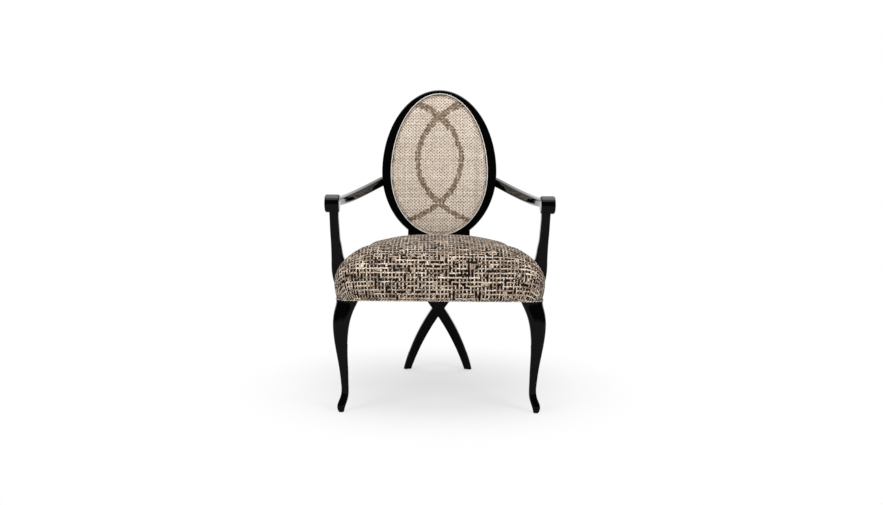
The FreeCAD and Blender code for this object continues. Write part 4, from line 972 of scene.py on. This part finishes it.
def softbox(name, place, target, size, power, mirrored):
    """Soft lamp, which the lacquer reflects only where mirrored is true."""
    light = bpy.data.lights.new(name, "AREA")
    light.shape = "RECTANGLE"
    light.size, light.size_y = size
    light.energy = power
    lamp = bpy.data.objects.new(name, light)
    lamp.location = place
    lamp.rotation_euler = (Vector(target) - Vector(place)).to_track_quat("-Z", "Y").to_euler()
    lamp.visible_glossy = mirrored
    bpy.context.scene.collection.objects.link(lamp)


def floor():
    """Pale floor that keeps a light shadow and runs out into white away from the chair."""
    made = Surface("floor", (0.80, 0.80, 0.80), 0.9)
    place = made.node("NewGeometry").outputs["Position"]
    split = made.node("SeparateXYZ", place)
    flat = made.point(split.outputs[0], split.outputs[1], 0.0)
    far = made.node("VectorMath", flat, operation="LENGTH").outputs["Value"]
    path = made.node("LightPath")
    seen = made.calc("MAXIMUM", path.outputs["Is Camera Ray"], path.outputs["Is Glossy Ray"])
    seen = made.calc("MAXIMUM", seen, path.outputs["Is Transmission Ray"])
    share = made.calc("MULTIPLY", made.between(far, 0.22, 0.70, 0.60, 1.0), seen)
    glow = made.node("Emission", (1, 1, 1, 1), 1.0)
    mixed = made.node("MixShader", share, made.shader.outputs[0], glow.outputs[0])
    output = next(node for node in made.tree.nodes if node.type == "OUTPUT_MATERIAL")
    made.feed(output.inputs["Surface"], mixed.outputs[0])
    signs = ((-1, -1), (1, -1), (1, 1), (-1, 1))
    corners = [Vector((x * FLOOR_HALF, y * FLOOR_HALF, 0)) for x, y in signs]
    piece = piece_from("floor", corners, [(0, 1, 2, 3)], made.material)


def dark_cards():
    """Dark cloth on the floor and walls round the front of the studio, seen in reflections alone."""
    made = Surface("dark_card", (0.01, 0.01, 0.01), 1.0)
    level = made.node("SeparateXYZ", made.node("NewGeometry").outputs["Position"]).outputs[2]
    tone = made.between(level, 0.01, 0.5, 0.16, 0.004)
    made.color(made.node("CombineColor", tone, tone, tone).outputs[0])
    wall_radius = 5.5
    above_floor = 0.0035
    profile = ((0.02, above_floor), (wall_radius, above_floor), (wall_radius, 6.0))
    hub = 0.5
    half_turn = 115
    steps = 24
    points = []
    faces = []
    for step in range(steps + 1):
        turn = math.radians(half_turn * (2 * step / steps - 1))
        for radius, height in profile:
            points.append(Vector((radius * math.sin(turn), hub - radius * math.cos(turn), height)))
    count = len(profile)
    for step in range(steps):
        for part in range(count - 1):
            base = count * step + part
            faces.append((base, base + count, base + count + 1, base + 1))
    piece = piece_from("dark_card", points, faces, made.material)
    piece.visible_camera = False
    piece.visible_diffuse = False
    piece.visible_shadow = False
    piece.visible_transmission = False


def world():
    """White to the camera and in reflections, and a low even light on the chair."""
    made = bpy.data.worlds.new("studio")
    made.use_nodes = True
    tree = made.node_tree
    tree.nodes.clear()
    path = tree.nodes.new("ShaderNodeLightPath")
    seen = path.outputs["Is Camera Ray"]
    for name in ("Is Glossy Ray", "Is Transmission Ray"):
        most = tree.nodes.new("ShaderNodeMath")
        most.operation = "MAXIMUM"
        tree.links.new(seen, most.inputs[0])
        tree.links.new(path.outputs[name], most.inputs[1])
        seen = most.outputs[0]
    low = tree.nodes.new("ShaderNodeBackground")
    low.inputs["Strength"].default_value = WORLD_LIGHT
    white = tree.nodes.new("ShaderNodeBackground")
    white.inputs["Strength"].default_value = 1.0
    for background in (low, white):
        background.inputs["Color"].default_value = (1, 1, 1, 1)
    mixed = tree.nodes.new("ShaderNodeMixShader")
    tree.links.new(seen, mixed.inputs[0])
    tree.links.new(low.outputs[0], mixed.inputs[1])
    tree.links.new(white.outputs[0], mixed.inputs[2])
    output = tree.nodes.new("ShaderNodeOutputWorld")
    tree.links.new(mixed.outputs[0], output.inputs["Surface"])
    bpy.context.scene.world = made


def camera():
    """At the photograph's place, looking down, with its small turn and roll."""
    data = bpy.data.cameras.new("camera")
    data.sensor_width = CAMERA_SENSOR
    data.lens = CAMERA_LENS
    made = bpy.data.objects.new("camera", data)
    leg_axis = FRONT_FACE + LEG_AXIS_DEPTH
    made.location = (CAMERA_SHIFT, leg_axis - CAMERA_DISTANCE, CAMERA_HEIGHT)
    made.rotation_euler = [math.radians(angle) for angle in (90 - CAMERA_PITCH, CAMERA_ROLL, CAMERA_TURN)]
    bpy.context.scene.collection.objects.link(made)
    bpy.context.scene.camera = made


camera()
world()
floor()
dark_cards()
for name, hand in (("left", -1), ("right", 1)):
    place = (SIDE_LAMP[0] * hand, *SIDE_LAMP[1:])
    softbox(name, place, SIDE_LAMP_TARGET, SIDE_LAMP_SIZE, SIDE_LAMP_POWER, mirrored=False)
softbox("top", TOP_LAMP, TOP_LAMP_TARGET, TOP_LAMP_SIZE, TOP_LAMP_POWER, mirrored=True)
bpy.context.scene.view_settings.view_transform = "Standard"

finishes = {
    "black_lacquer": lacquer(),
    "beech": wood("beech", (0.40, 0.25, 0.14), (0.62, 0.45, 0.29), 0),
    "plywood": wood("plywood", (0.44, 0.31, 0.19), (0.66, 0.52, 0.36), 2),
    "zinc_steel": steel(),
    "glide_plastic": glide_plastic(),
    "seat_tweed": tweed(),
    "back_weave": back_weave("back_weave", True),
    "plain_cloth": back_weave("plain_cloth", False),
    "light_cord": fine_cloth("light_cord", (0.80, 0.77, 0.72), 380.0, 0.5),
    "hem_trim": hem_cord(),
    "wadding": fine_cloth("wadding", (0.80, 0.74, 0.58), 120.0),
    "webbing": jute(),
    "dust_cloth": fine_cloth("dust_cloth", (0.02, 0.02, 0.02), 300.0),
}
for subpart in frame["record"]["subparts"]:
    mesh = frame["nodes"][subpart["node"]].data
    mesh.materials.clear()
    mesh.materials.append(finishes[subpart["material_slot"]])

seat_cushion(finishes["seat_tweed"])
hem_trim(finishes["hem_trim"])
back_panel(finishes["back_weave"])
outer_panel(finishes["plain_cloth"])
welt("back_welt", -PIPING / 2, "back_piping", finishes["light_cord"])
welt("back_outer_welt", PIPING / 2 - RING_THICKNESS, "back_outer_piping", finishes["light_cord"])
bottom_cloth(finishes["dust_cloth"])
